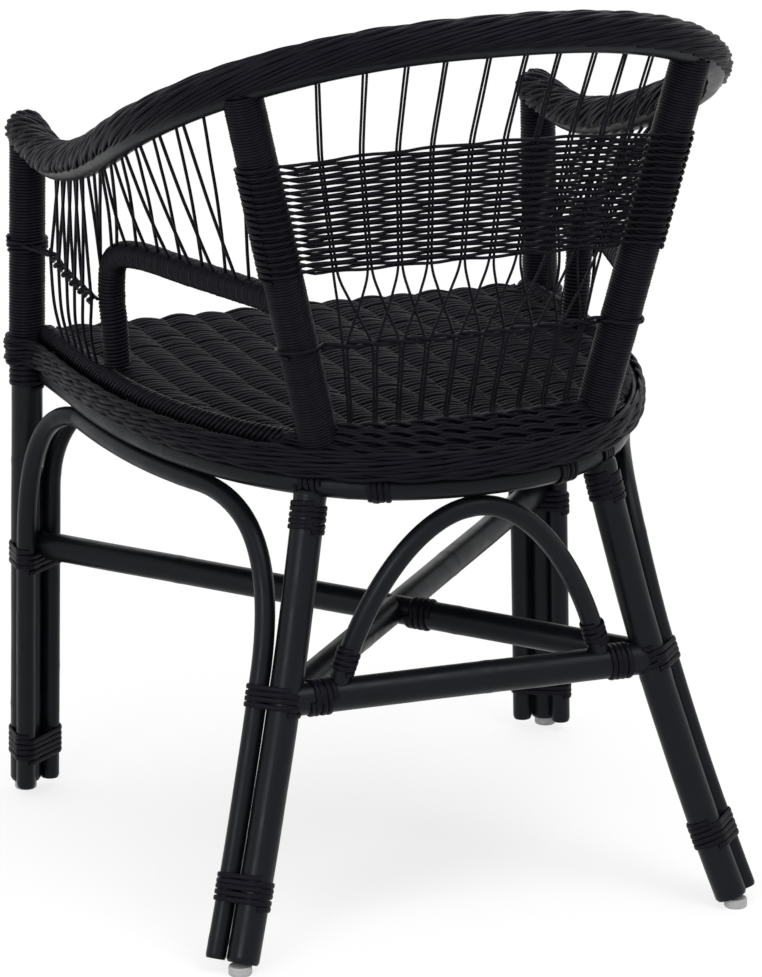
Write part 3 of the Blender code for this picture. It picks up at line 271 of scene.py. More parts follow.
def new_tree(name, sockets):
    """A geometry tree with its named inputs."""
    tree = bpy.data.node_groups.new(name, "GeometryNodeTree")
    tree.interface.new_socket("Geometry", in_out="OUTPUT", socket_type="NodeSocketGeometry")
    tree.interface.new_socket("Geometry", in_out="INPUT", socket_type="NodeSocketGeometry")
    for label, kind, default in sockets:
        socket = tree.interface.new_socket(label, in_out="INPUT", socket_type=f"NodeSocket{kind}")
        if default is not None:
            socket.default_value = default
    return tree, tree.nodes.new("NodeGroupInput").outputs


print("node helpers ready")

# %% Cane tree
def skin_and_finish(tree, curve, size, inputs):
    """Sweeps the section along a curve and ends the tree: smooth, painted, a real mesh."""
    length = node(tree, "GeometryNodeSplineParameter").outputs["Length"]
    marked = stored(tree, curve, "along", length)
    ring = node(tree, "GeometryNodeCurvePrimitiveCircle", {"Resolution": inputs["Sides"], "Radius": 1.0})
    shape = node(tree, "ShaderNodeCombineXYZ", {"X": inputs["Flat"], "Y": 1.0, "Z": 1.0})
    squeezed = node(tree, "GeometryNodeTransform", {"Geometry": ring.outputs[0], "Scale": shape.outputs[0]})
    factor = node(tree, "GeometryNodeSplineParameter").outputs["Factor"]
    section = stored(tree, squeezed.outputs[0], "around", factor)
    swept = node(tree, "GeometryNodeCurveToMesh",
                 {"Curve": marked, "Profile Curve": section, "Scale": size, "Fill Caps": True})
    smooth = node(tree, "GeometryNodeSetShadeSmooth", {"Geometry": swept.outputs[0]})
    painted = node(tree, "GeometryNodeSetMaterial",
                   {"Geometry": smooth.outputs[0], "Material": inputs["Paint"]})
    real = node(tree, "GeometryNodeRealizeInstances", {"Geometry": painted.outputs[0]})
    end = tree.nodes.new("NodeGroupOutput")
    tree.links.new(real.outputs[0], end.inputs[0])


def make_cane_tree():
    """Lines to cane, each strand shaken by its own noise."""
    tree, inputs = new_tree("Cane along lines", (
        ("Sides", "Int", 8), ("Flat", "Float", 1.0), ("Wobble", "Float", 0.0),
        ("Wobble Scale", "Float", 30.0), ("Paint", "Material", None)))
    curve = node(tree, "GeometryNodeMeshToCurve", {"Mesh": inputs["Geometry"]})
    place = node(tree, "GeometryNodeInputPosition").outputs[0]
    shake = {"Vector": place, "W": named(tree, "strand"), "Scale": inputs["Wobble Scale"], "Detail": 1.0}
    noise = node(tree, "ShaderNodeTexNoise", shake, noise_dimensions="4D")
    centred = vector_maths(tree, "SUBTRACT", noise.outputs["Color"], (0.5, 0.5, 0.5))
    offset = scaled(tree, centred, inputs["Wobble"])
    moved = node(tree, "GeometryNodeSetPosition", {"Geometry": curve.outputs[0], "Offset": offset})
    out = named(tree, "out", "FLOAT_VECTOR")
    faced = node(tree, "GeometryNodeSetCurveNormal", {"Curve": moved.outputs[0], "Normal": out}, mode="FREE")
    skin_and_finish(tree, faced.outputs[0], named(tree, "size"), inputs)
    return tree


CANE_TREE = make_cane_tree()
print(CANE_TREE.name, len(CANE_TREE.nodes), "nodes")

# %% [markdown]
# ## Wound cane
# The posts, arm loops and seat rolls are each wrapped in one long cane, with over a hundred turns on
# a back post. A stack of rings would look alike from afar, but rings don't climb. This tree
# resamples the guide line, swings each point round it once per pitch, and leans and loosens the
# turns a little.

# %% Winding tree
SLACK_SCALE = 260.0
THINNEST_SHARE = 0.85
THICKER_BY = 0.3


def make_winding_tree():
    """A line to one long cane wound round it."""
    tree, inputs = new_tree("Wound cane", (
        ("Turn Radius", "Float", 0.015), ("Pitch", "Float", 0.0026), ("Strand Radius", "Float", 0.0013),
        ("Points", "Float", 16.0), ("Lean", "Float", 0.0), ("Loose", "Float", 0.0),
        ("Sides", "Int", 6), ("Flat", "Float", 1.0), ("Paint", "Material", None)))
    curve = node(tree, "GeometryNodeMeshToCurve", {"Mesh": inputs["Geometry"]})
    whole = node(tree, "GeometryNodeSplineLength").outputs["Length"]
    count = maths(tree, "MULTIPLY", maths(tree, "DIVIDE", whole, inputs["Pitch"]), inputs["Points"])
    fine = node(tree, "GeometryNodeResampleCurve", {"Curve": curve.outputs[0], "Count": count}, mode="COUNT")
    run = node(tree, "GeometryNodeSplineParameter").outputs["Length"]
    angle = maths(tree, "MULTIPLY", maths(tree, "DIVIDE", run, inputs["Pitch"]), 2 * math.pi)
    normal = node(tree, "GeometryNodeInputNormal").outputs[0]
    tangent = node(tree, "GeometryNodeInputTangent").outputs[0]
    across = vector_maths(tree, "CROSS_PRODUCT", tangent, normal)
    aim = vector_maths(tree, "ADD", scaled(tree, normal, maths(tree, "COSINE", angle)),
                       scaled(tree, across, maths(tree, "SINE", angle)))
    noise = node(tree, "ShaderNodeTexNoise", {"W": maths(tree, "MULTIPLY", run, SLACK_SCALE), "Detail": 1.0},
                 noise_dimensions="1D").outputs[0]
    slack = maths(tree, "MULTIPLY", maths(tree, "SUBTRACT", noise, 0.5), inputs["Loose"])
    reach = maths(tree, "ADD", inputs["Turn Radius"], slack)
    height = node(tree, "ShaderNodeSeparateXYZ", {0: aim}).outputs["Z"]
    lean = maths(tree, "ADD", maths(tree, "MULTIPLY", height, inputs["Lean"]), slack)
    swing = vector_maths(tree, "ADD", scaled(tree, aim, reach), scaled(tree, tangent, lean))
    wound_line = node(tree, "GeometryNodeSetPosition", {"Geometry": fine.outputs[0], "Offset": swing})
    share = maths(tree, "ADD", maths(tree, "MULTIPLY", noise, THICKER_BY), THINNEST_SHARE)
    size = maths(tree, "MULTIPLY", inputs["Strand Radius"], share)
    skin_and_finish(tree, wound_line.outputs[0], size, inputs)
    return tree


WINDING_TREE = make_winding_tree()
print(WINDING_TREE.name, len(WINDING_TREE.nodes), "nodes")

# %% [markdown]
# ## Paint
# All the rattan is brushed with near-black paint, which lies a little glossier on smooth poles than
# on the weave. One flat black would do from afar, but close up it looks like plastic. So fibre
# streaks run along each strand, by the values the trees stored, and mottling varies tone and gloss.

# %% Black paint
FIBRES_PER_METRE = 9.0
MOTTLE_SCALE = 45.0
DARK_SHARE = 0.7
PALE_SHARE = 1.35
GLOSSIER_BY = 0.07
DULLER_BY = 0.09
GRAIN_DEPTH = 0.0006


def colour_output(mixer):
    return next(socket for socket in mixer.outputs if socket.type == "RGBA")


def make_paint(name, colour, roughness, streak, grain, sheen, tint):
    """Black paint over cane: streaks follow the strand, mottling follows the object."""
    paint = bpy.data.materials.new(name)
    paint.use_nodes = True
    tree = paint.node_tree
    shader = tree.nodes["Principled BSDF"]
    place = node(tree, "ShaderNodeTexCoord").outputs["Object"]
    along = node(tree, "ShaderNodeAttribute", attribute_name="along").outputs["Fac"]
    around = node(tree, "ShaderNodeAttribute", attribute_name="around").outputs["Fac"]
    fibre = node(tree, "ShaderNodeCombineXYZ", {"X": maths(tree, "MULTIPLY", around, streak),
                                                "Y": maths(tree, "MULTIPLY", along, FIBRES_PER_METRE)})
    streaks = node(tree, "ShaderNodeTexNoise", {"Vector": fibre.outputs[0], "Scale": 1.0, "Detail": 3.0})
    mottle = node(tree, "ShaderNodeTexNoise", {"Vector": place, "Scale": MOTTLE_SCALE, "Detail": 5.0})
    dark, pale = [(*[c * share for c in colour], 1) for share in (DARK_SHARE, PALE_SHARE)]
    tone = node(tree, "ShaderNodeMix", {"Factor": mottle.outputs[0], "A": dark, "B": pale}, data_type="RGBA")
    tree.links.new(colour_output(tone), shader.inputs["Base Color"])
    gloss = node(tree, "ShaderNodeMapRange",
                 {"Value": mottle.outputs[0], "From Min": 0.3, "From Max": 0.7,
                  "To Min": roughness - GLOSSIER_BY, "To Max": roughness + DULLER_BY})
    tree.links.new(gloss.outputs[0], shader.inputs["Roughness"])
    shader.inputs["Specular IOR Level"].default_value = sheen
    shader.inputs["Specular Tint"].default_value = (*tint, 1)
    height = maths(tree, "ADD", streaks.outputs[0], maths(tree, "MULTIPLY", mottle.outputs[0], 0.5))
    bump = node(tree, "ShaderNodeBump", {"Height": height, "Strength": grain, "Distance": GRAIN_DEPTH})
    tree.links.new(bump.outputs[0], shader.inputs["Normal"])
    return paint


POLE_BLACK = (0.0034, 0.0037, 0.0050)
CANE_BLACK = (0.0036, 0.0034, 0.0056)
POLE_SHEEN = (0.84, 0.93, 1.0)
CANE_SHEEN = (0.86, 0.84, 1.0)
POLE_PAINT = make_paint("pole paint", POLE_BLACK, roughness=0.36, streak=24.0, grain=0.25,
                        sheen=0.15, tint=POLE_SHEEN)
CANE_PAINT = make_paint("cane paint", CANE_BLACK, roughness=0.43, streak=8.0, grain=0.30,
                        sheen=0.085, tint=CANE_SHEEN)
WEAVE_PAINT = make_paint("weave paint", CANE_BLACK, roughness=0.45, streak=6.0, grain=0.40,
                         sheen=0.08, tint=CANE_SHEEN)
print("paints:", POLE_PAINT.name, CANE_PAINT.name, WEAVE_PAINT.name)

# %% [markdown]
# ## Making pieces
# Each piece of the chair passes through the same three steps, so they are functions. `lines` stores
# the edges, `grow` runs a tree on them and keeps the mesh, and `keep` ties the piece to the chair's
# body and hides the CAD node it stands for.

# %% Lines with their values
def square_to(along):
    """Any direction square to another."""
    return unit(np.cross(along, UP if abs(along[2]) < 0.9 else np.array((1.0, 0, 0))))


def carried_out(path):
    """Cross directions carried along a path without twist."""
    steps = tangents(path)
    found = [square_to(steps[0])]
    for step in steps[1:]:
        found.append(unit(found[-1] - step * np.dot(found[-1], step)))
    return np.array(found)


def lines(name, paths, radius, outs=None):
    """A mesh of bare edges, one chain for each path, with what the trees need on its points."""
    counts = [len(path) for path in paths]
    starts = np.cumsum([0] + counts[:-1])
    edges = [np.stack([np.arange(s, s + n - 1), np.arange(s + 1, s + n)], 1) for s, n in zip(starts, counts)]
    mesh = bpy.data.meshes.new(name)
    mesh.from_pydata((np.concatenate(paths) + PLAN_SHIFT).tolist(), np.concatenate(edges).tolist(), [])
    outs = outs if outs is not None else [carried_out(path) for path in paths]
    sizes = radius if isinstance(radius, list) else [np.full(n, radius) for n in counts]
    strand = np.repeat(chance.uniform(0, 100, len(paths)), counts)
    for label, kind, field, values in (("size", "FLOAT", "value", np.concatenate(sizes)),
                                       ("strand", "FLOAT", "value", strand),
                                       ("out", "FLOAT_VECTOR", "vector", np.concatenate(outs).ravel())):
        mesh.attributes.new(label, kind, "POINT").data.foreach_set(field, values.astype(np.float32))
    piece = bpy.data.objects.new(name, mesh)
    bpy.context.scene.collection.objects.link(piece)
    return piece


print("a line along X faces", carried_out(np.array(((0.0, 0, 0), (1.0, 0, 0))))[0])

# %% From lines to pieces
def grow(piece, tree, **values):
    """Runs a node tree on a piece and keeps the result as its mesh."""
    step = piece.modifiers.new(tree.name, "NODES")
    step.node_group = tree
    wanted = {name.replace("_", " "): value for name, value in values.items()}
    for item in tree.interface.items_tree:
        if item.in_out == "INPUT" and item.name in wanted:
            step[item.identifier] = wanted[item.name]
    graph = bpy.context.evaluated_depsgraph_get()
    made = bpy.data.meshes.new_from_object(piece.evaluated_get(graph), preserve_all_data_layers=True,
                                           depsgraph=graph)
    piece.modifiers.remove(step)
    piece.data = made
    made.name = piece.name
    return piece


def keep(piece, node_name):
    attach(piece, "root")
    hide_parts(node_name)
    triangles = sum(len(face.vertices) - 2 for face in piece.data.polygons)
    print(f"{piece.name}: {triangles} triangles for {node_name}")


def cane(name, paths, radius, slot, node_name, paint, outs=None, **values):
    keep(grow(lines(name, paths, radius, outs), CANE_TREE, Paint=paint, **values), node_name)


def weave(name, paths, radius, node_name, **values):
    """Woven strands: eight-sided canes in the weave's paint."""
    cane(name, paths, radius, "black_weave", node_name, WEAVE_PAINT, Sides=8, **values)


def core(name, path, radius, node_name):
    """The smooth pole inside a winding, which closes the slits between its turns."""
    cane(name, [path], radius, "black_cane", node_name, CANE_PAINT, Sides=12)


def wound(name, path, values):
    """A winding round a line; the line itself has no thickness, because the tree sets the strand's."""
    piece = grow(lines(f"{name}_turns", [path], 0.0), WINDING_TREE, Paint=CANE_PAINT, **values)
    keep(piece, name)


print("piece helpers ready")

# %% [markdown]
# ## Poles
# Rattan grows in sections. Every pole gets faint swellings where its leaf rings were, a slight
# crook between them, and softened ends. A cylinder primitive could stand for a straight pole, but
# bent poles and ringed ones both come from the same sweep with a changing radius.

# %% One pole
RING_GAP = 0.23
RING_LENGTH = 0.0035
RING_SWELL = 0.022
SOFT_END = 0.0025
SOFT_END_SHARE = 0.10


def pole_sizes(path, radius):
    """Radius along a pole: swollen at its rings and rounded off at both ends."""
    run = lengths(path)
    sizes = np.full(len(path), radius)
    spot = chance.uniform(0.05, RING_GAP)
    while spot < run[-1]:
        sizes += radius * RING_SWELL * np.exp(-((run - spot) / RING_LENGTH) ** 2)
        spot += RING_GAP * chance.uniform(0.75, 1.25)
    edge = np.minimum(run, run[-1] - run)
    return sizes * (1 - SOFT_END_SHARE * np.clip(1 - edge / SOFT_END, 0, 1) ** 2)


def pole(name, path, radius, sides=20):
    path = even(path, 0.0025)
    cane(f"{name}_pole", [path], [pole_sizes(path, radius)], "black_pole", name, POLE_PAINT,
         Sides=sides, Wobble=0.0012, Wobble_Scale=9.0)


print("rings about every", RING_GAP, "m")

# %% Thin poles beside thick ones
THIN_STEP = POLE_RADIUS + ARCH_RADIUS + 0.0003
FRONT_ARCH_AIM = np.array((0.29, 0.957, 0))
BACK_ARCH_AIM = np.array((0.861, -0.508, 0))
INWARD = np.array((-1.0, 0, 0))


def beside(axis, z, side, towards):
    """A step square to an axis, to the axis of the thin pole beside it."""
    along = along_axis(axis, z, side)
    aim = towards * (side, 1, 1)
    return unit(aim - along * np.dot(aim, along)) * THIN_STEP


def arch_step(axis, z, side):
    return beside(axis, z, side, FRONT_ARCH_AIM if axis is front_axis else BACK_ARCH_AIM)


def bend(start, corner, end):
    return [mix(mix(start, corner, t), mix(corner, end, t), t) for t in np.linspace(0, 1, 24)]


print("thin poles stand", round(THIN_STEP * 1000, 2), "mm from the axes of the thick ones")

# %% Lines of the arches and stretchers
ARCH_STRAIGHT_TOP = 0.240
ARCH_MEETS_HOOP_Y = -0.150
ARCH_LEAVES_HOOP_Y = 0.065
FRONT_ARCH_STRAIGHT_TOP = 0.285
FRONT_ARCH_BEND = 0.100
BACK_ARCH_HALF_SPAN = 0.120
BACK_ARCH_POWER = 1.3
BACK_JOINT = 0.2165
CROSS_FRONT_JOINT = 0.2345
CROSS_BACK_JOINT = 0.2180
STRETCHER_ENDS = [leg_axis(BACK_JOINT, side) for _, side in SIDES]
CROSS_ENDS = [(front_axis(CROSS_FRONT_JOINT, side), leg_axis(CROSS_BACK_JOINT, -side)) for _, side in SIDES]


def side_arch_path(side):
    """Up behind the front post, back under the hoop, and down outside the back leg."""
    heights = np.linspace(POLE_FOOT, ARCH_STRAIGHT_TOP, 30)
    front = [front_axis(z, side) + arch_step(front_axis, z, side) for z in heights]
    back = [leg_axis(z, side) + arch_step(leg_axis, z, side) for z in heights[::-1]]
    run = [hoop_point(y, side, ARCH_REST) for y in np.linspace(ARCH_MEETS_HOOP_Y, ARCH_LEAVES_HOOP_Y, 20)]
    corners = [axis(ARCH_REST, side) + arch_step(axis, ARCH_REST, side) for axis in (front_axis, leg_axis)]
    bends = [bend(front[-1], corners[0], run[0]), bend(run[-1], corners[1], back[0])]
    return np.array(front + bends[0] + run + bends[1] + back)


def front_arch_path():
    """Up inside one front post, across under the front rail, and down inside the other."""
    heights = (POLE_FOOT, FRONT_ARCH_STRAIGHT_TOP, ARCH_REST)
    foot, straight, corner = [front_axis(z, 1) + beside(front_axis, z, 1, INWARD) for z in heights]
    half = np.array([foot] + bend(straight, corner, corner + INWARD * FRONT_ARCH_BEND))
    return np.concatenate([half, half[::-1] * (-1, 1, 1)])


def back_arch_path():
    """From the back stretcher up to the hoop and down again."""
    turns = np.linspace(0, math.pi, 60)
    base = (STRETCHER_ENDS[0] + STRETCHER_ENDS[1]) / 2
    crown = np.array((0, HOOP_BACK_Y, ARCH_REST))
    path = np.array([mix(base, crown, math.sin(turn)) for turn in turns])
    width = np.sqrt(np.clip(1 - np.sin(turns) ** BACK_ARCH_POWER, 0, 1))
    path[:, 0] = BACK_ARCH_HALF_SPAN * width * np.sign(np.cos(turns))
    return path


print("side arch", round(float(lengths(side_arch_path(1))[-1]), 3), "m long")

# %% Make the poles
LEG_TOP = 0.388
POST_LOW_END = 0.3995
SEAT_BAR_X = 0.082
SEAT_BAR_HEIGHT = 0.388
SEAT_BAR_FRONT_Y = FRONT_POST_Y + 0.009
SEAT_BAR_RADIUS = 0.009
CROSS_RADIUS = 0.0125
RAIL_RADIUS = 0.0125
RAIL_CORE_DROP = 0.005


def make_side_poles(word, side):
    top = rail_point(FRONT_POST_Y, side)[2]
    pole(f"front_post_{word}", [front_axis(POLE_FOOT, side), front_axis(top, side)], POLE_RADIUS)
    leg = [leg_axis(z, side) for z in np.linspace(POLE_FOOT, LEG_TOP, 40)]
    pole(f"back_leg_{word}", leg, POLE_RADIUS)
    pole(f"side_arch_{word}", side_arch_path(side), ARCH_RADIUS, sides=16)
    bar = hoop_point_at_x(side * SEAT_BAR_X, SEAT_BAR_HEIGHT)
    bar_front = np.array((bar[0], SEAT_BAR_FRONT_Y, bar[2]))
    pole(f"seat_bar_{word}", [bar_front, bar], SEAT_BAR_RADIUS, sides=16)
    post = [post_axis(z, side) for z in (POST_LOW_END, rail_point(POST_TOP_Y, side)[2])]
    pole(f"back_post_{word}", post, POLE_RADIUS)


def make_shared_poles():
    pole("seat_hoop", HOOP_PATH, HOOP_RADIUS)
    front = np.array((FRONT_FOOT_X, FRONT_POST_Y, HOOP_HEIGHT))
    pole("front_rail", [front, front * (-1, 1, 1)], HOOP_RADIUS)
    pole("front_arch", front_arch_path(), ARCH_RADIUS, sides=16)
    pole("back_stretcher", STRETCHER_ENDS, POLE_RADIUS)
    pole("cross_stretcher_lower", CROSS_ENDS[0], CROSS_RADIUS)
    pole("cross_stretcher_upper", CROSS_ENDS[1], CROSS_RADIUS)
    pole("back_arch", back_arch_path(), ARCH_RADIUS, sides=16)
    lift = unit(np.cross(outward(RAIL_PATH), tangents(RAIL_PATH)))
    pole("top_rail", RAIL_PATH - lift * RAIL_CORE_DROP, RAIL_RADIUS)


for word, side in SIDES:
    make_side_poles(word, side)
make_shared_poles()

# %% [markdown]
# ## Flat cane bindings
# On the chair every joint is bound with split cane, four or five turns of it. Rings round each pole
# would miss that a binding holds two or three poles together. So the cane's line is found for the
# whole group: it follows the outside of the poles and runs straight between them.

# %% A binding's line
STRIP_WIDTH = 0.0047
STRIP_THICKNESS = 0.0020
STRIP_PITCH = 0.0050
STRIP_SLIP = 0.0004
STRIP_LEAN = 0.0007


def trip_round(members, along):
    """One trip round a group of poles: steps from the centre, and outward aims."""
    first = square_to(along)
    second = np.cross(along, first)
    spots, aims = [], []
    for turn in np.linspace(0, 2 * math.pi, 96, endpoint=False):
        aim = first * math.cos(turn) + second * math.sin(turn)
        step, radius = max(members, key=lambda member: np.dot(member[0], aim) + member[1])
        spots.append(step + aim * (radius + STRIP_THICKNESS / 2))
        aims.append(aim)
    return np.array(spots), np.array(aims)


def binding_path(centre, along, members, turns):
    """The cane's line through all its turns, with its outward side, each turn a little off true."""
    spots, aims = trip_round(members, along)
    loop = np.concatenate([spots, spots[:1]])
    share = lengths(loop)[:-1] / lengths(loop)[-1]
    path = []
    for count in range(turns):
        slip = chance.uniform(-STRIP_SLIP, STRIP_SLIP)
        lean = chance.uniform(-STRIP_LEAN, STRIP_LEAN)
        level = (count + share - turns / 2) * STRIP_PITCH + slip + lean * np.cos(2 * math.pi * share)
        path.append(centre + spots + level[:, None] * along)
    return np.concatenate(path), np.tile(aims, (turns, 1))


def binding(name, *windings):
    """One piece from one or more windings, each (centre, along, members, turns)."""
    paths, outs = zip(*[binding_path(*winding) for winding in windings])
    cane(f"{name}_strip", paths, STRIP_WIDTH / 2, "black_cane", name, CANE_PAINT,
         outs=outs, Sides=10, Flat=STRIP_THICKNESS / STRIP_WIDTH)


print("strips", STRIP_WIDTH * 1000, "by", STRIP_THICKNESS * 1000, "mm")

# %% Make the bindings
JOINT_ROOM = 0.0024
BACK_TOP_BINDING = 0.366


def single(radius):
    return [(np.zeros(3), radius)]


def front_members(z, side):
    return [*single(POLE_RADIUS), (arch_step(front_axis, z, side), ARCH_RADIUS),
            (beside(front_axis, z, side, INWARD), ARCH_RADIUS)]


def back_members(z, side):
    return [*single(POLE_RADIUS), (arch_step(leg_axis, z, side), ARCH_RADIUS)]


def bound_at(axis, z, side, members, turns):
    return axis(z, side), along_axis(axis, z, side), members, turns


def on_path(path, distance):
    """A spot at a distance along a path, and the path's direction there."""
    run = lengths(path)
    spot = np.array([np.interp(distance, run, path[:, k]) for k in range(3)])
    ahead = np.array([np.interp(distance + 0.002, run, path[:, k]) for k in range(3)])
    return spot, unit(ahead - spot)


GROUP_BINDINGS = (("front_foot", front_axis, front_members, 0.046, 5),
                  ("front_mid", front_axis, front_members, 0.2247, 4),
                  ("back_foot", leg_axis, back_members, 0.064, 5),
                  ("back_mid", leg_axis, back_members, BACK_JOINT, 4))


def make_side_bindings(word, side):
    for name, axis, members, z, turns in GROUP_BINDINGS:
        binding(f"{name}_binding_{word}", bound_at(axis, z, side, members(z, side), turns))
    corner = hoop_point(LEG_JOINT_Y, side)
    hoop_way = unit(hoop_point(LEG_JOINT_Y + 0.004, side) - hoop_point(LEG_JOINT_Y - 0.004, side))
    binding(f"back_top_binding_{word}",
            bound_at(leg_axis, BACK_TOP_BINDING, side, single(POLE_RADIUS), 5),
            (corner, hoop_way, single(HOOP_RADIUS), 4))
    binding(f"front_top_binding_{word}", bound_at(front_axis, HOOP_HEIGHT, side, single(POLE_RADIUS), 5))
    bar, past = [hoop_point_at_x(side * SEAT_BAR_X + step) for step in (0, 0.002)]
    binding(f"seat_bar_binding_{word}", (bar, unit(past - bar), single(HOOP_RADIUS), 4))
    reach = POLE_RADIUS + JOINT_ROOM + 3 * STRIP_PITCH
    inward = INWARD * side
    middle = leg_axis(BACK_JOINT, side) + inward * reach
    binding(f"stretcher_end_binding_{word}", (middle, inward, single(POLE_RADIUS), 4))
    spot, along = on_path(even(back_arch_path()[::side], 0.002), reach)
    binding(f"arch_foot_binding_{word}", (spot, along, single(ARCH_RADIUS), 4))


def make_cross_binding():
    start, end = CROSS_ENDS[0]
    crossing = mix(start, end, start[0] / (start[0] - end[0]))
    along = unit(end - start)
    beyond = crossing + along * (CROSS_RADIUS + 3 * STRIP_PITCH)
    binding("cross_binding", (beyond, along, single(CROSS_RADIUS), 4))


for word, side in SIDES:
    make_side_bindings(word, side)
make_cross_binding()

# %% [markdown]
# ## Wrapped posts, arm loops and rolls
# The back posts carry the closest wrap. The arm loop bends up from the seat and runs back to the
# post, and the rolls lie on the hoop along both sides of the seat. A bump map of fine rings could
# stand in for the wraps, but their edges against the light would be straight. The winding tree
# gives every turn its own edge.

# %% Lines of the arm loops and rolls
LOOP_FOOT = np.array((0.2150, -0.0840, ROLL_HEIGHT + ROLL_RADIUS))
LOOP_CORNER = np.array((0.2225, -0.0840, 0.5455))
LOOP_BEND = 0.048
LOOP_RISE = 0.009


def smooth_line(points, step):
    """A smooth line through given points."""
    points = np.asarray(points, float)
    ends = np.concatenate([[2 * points[0] - points[1]], points, [2 * points[-1] - points[-2]]])
    dense = []
    for a, b, c, d in zip(ends, ends[1:], ends[2:], ends[3:]):
        for t in np.linspace(0, 1, 24, endpoint=False):
            line = 2 * b + (c - a) * t + (2 * a - 5 * b + 4 * c - d) * t**2
            dense.append((line + (3 * b - a - 3 * c + d) * t**3) / 2)
    return even(dense + [points[-1]], step)


def loop_path(side):
    """Arm loop: up from the seat's edge, then back to the post in one bend."""
    post = post_axis(LOOP_CORNER[2] + LOOP_RISE, 1)
    run = mix(LOOP_CORNER, post, LOOP_BEND / np.linalg.norm(post - LOOP_CORNER))
    down = unit(LOOP_FOOT - LOOP_CORNER)
    points = [LOOP_FOOT, mix(LOOP_FOOT, LOOP_CORNER, 0.35), LOOP_CORNER + down * LOOP_BEND * 0.85,
              LOOP_CORNER + ((run - LOOP_CORNER) + down * LOOP_BEND) * 0.22, run,
              mix(run, post, 0.35), mix(run, post, 0.7), post]
    return smooth_line(points, 0.004) * (side, 1, 1)


def roll_path(side):
    """The hoop's line lifted to the roll, from the front post to the back post."""
    path = HOOP_PATH[::side]
    kept = path[(np.abs(path[:, 0]) > POST_FOOT[0] - 0.004) & (path[:, 0] * side > 0)]
    return kept + (0, 0, ROLL_HEIGHT - HOOP_HEIGHT)


print("arm loop", round(float(lengths(loop_path(1))[-1]), 3), "m long")

# %% Wind the cane
BACK_WRAP_FOOT = 0.4225
FRONT_WRAP_FOOT = ROLL_HEIGHT - 0.004
UNDER_BRAID = 0.008
LOOP_CORE = 0.0099
ROLL_CORE = 0.0072
BACK_WRAP = {"Turn_Radius": 0.0158, "Pitch": 0.00255, "Strand_Radius": 0.00150,
             "Points": 22.0, "Loose": 0.0004}
FRONT_WRAP = {"Turn_Radius": 0.0149, "Pitch": 0.00275, "Strand_Radius": 0.00152,
              "Points": 22.0, "Loose": 0.0003}
LOOP_WRAP = {"Turn_Radius": 0.0103, "Pitch": 0.0033, "Strand_Radius": 0.00180,
             "Points": 20.0, "Loose": 0.0009}
ROLL_WRAP = {"Turn_Radius": 0.0076, "Pitch": 0.0056, "Strand_Radius": 0.0019,
             "Points": 20.0, "Loose": 0.0014, "Lean": 0.0070, "Sides": 8}


def wrapped_stretch(axis, low, rail_y, side):
    """The part of a post that is wrapped: from a height to just under the rail's braid."""
    return even([axis(low, side), axis(rail_point(rail_y, side)[2] - UNDER_BRAID, side)], 0.004)


for word, side in SIDES:
    back_stretch = wrapped_stretch(post_axis, BACK_WRAP_FOOT, POST_TOP_Y, side)
    wound(f"back_post_wrap_{word}", back_stretch, BACK_WRAP)
    front_stretch = wrapped_stretch(front_axis, FRONT_WRAP_FOOT, FRONT_POST_Y, side)
    wound(f"front_post_wrap_{word}", front_stretch, FRONT_WRAP)
    wound(f"arm_loop_{word}", loop_path(side), LOOP_WRAP)
    core(f"arm_loop_pole_{word}", loop_path(side), LOOP_CORE, f"arm_loop_{word}")
    wound(f"seat_roll_{word}", roll_path(side), ROLL_WRAP)
    core(f"seat_roll_core_{word}", roll_path(side), ROLL_CORE, f"seat_roll_{word}")

# %% [markdown]
# ## Seat
# The real seat is plain weave: split canes run from side to side, over one rib and under the next,
# and their neighbours do the opposite. A flat plate with a bump map would lose the scalloped front
# edge, so every strand is a flattened cane on a sine wave. The ribs close up behind the middle.

# %% The seat's section
RIB_GAP = 0.0308
RIB_TAPER = 0.838
SEAT_FRONT_Y = -0.2510
SEAT_PITCH = 0.0040
SEAT_STRAND = 0.00235
SEAT_FLAT = 0.78
SEAT_RISE = 0.0028
SEAT_FACE = 0.020
FRONT_ROUND = 0.008
BEND_LENGTH = FRONT_ROUND * math.pi / 2
SEAT_LEVEL = SEAT_HEIGHT - SEAT_RISE - SEAT_STRAND * SEAT_FLAT
FACE_Y = SEAT_FRONT_Y + SEAT_RISE + SEAT_STRAND * SEAT_FLAT


def rib_spread(y):
    return 1 - RIB_TAPER * max(0.0, y)


def seat_section(run):
    """The seat from front to back: up the front face, round the edge, and over the top."""
    if run < SEAT_FACE:
        return FACE_Y, SEAT_LEVEL - FRONT_ROUND - SEAT_FACE + run, np.array((0.0, -1.0, 0.0))
    if run < SEAT_FACE + BEND_LENGTH:
        turn = (run - SEAT_FACE) / FRONT_ROUND
        aim = np.array((0.0, -math.cos(turn), math.sin(turn)))
        return FACE_Y + FRONT_ROUND * (1 + aim[1]), SEAT_LEVEL - FRONT_ROUND + FRONT_ROUND * aim[2], aim
    return FACE_Y + FRONT_ROUND + run - SEAT_FACE - BEND_LENGTH, SEAT_LEVEL, UP


def seat_half_width(y):
    """Half the seat at a depth: under the rolls, and narrower between the front posts."""
    half = hoop_point(max(y, FRONT_POST_Y), 1)[0] - 0.006
    return half - 0.004 if y < FRONT_POST_Y + 0.018 else half


print("seat weave's middle at", round(SEAT_LEVEL, 4), "m")

# %% Seat strands
SEAT_RUN = 0.475
STRAND_STEP = 0.0036
LIFT_SPREAD = 0.00028
SHIFT_SPREAD = 0.00025
SEAT_SINK = 0.0004


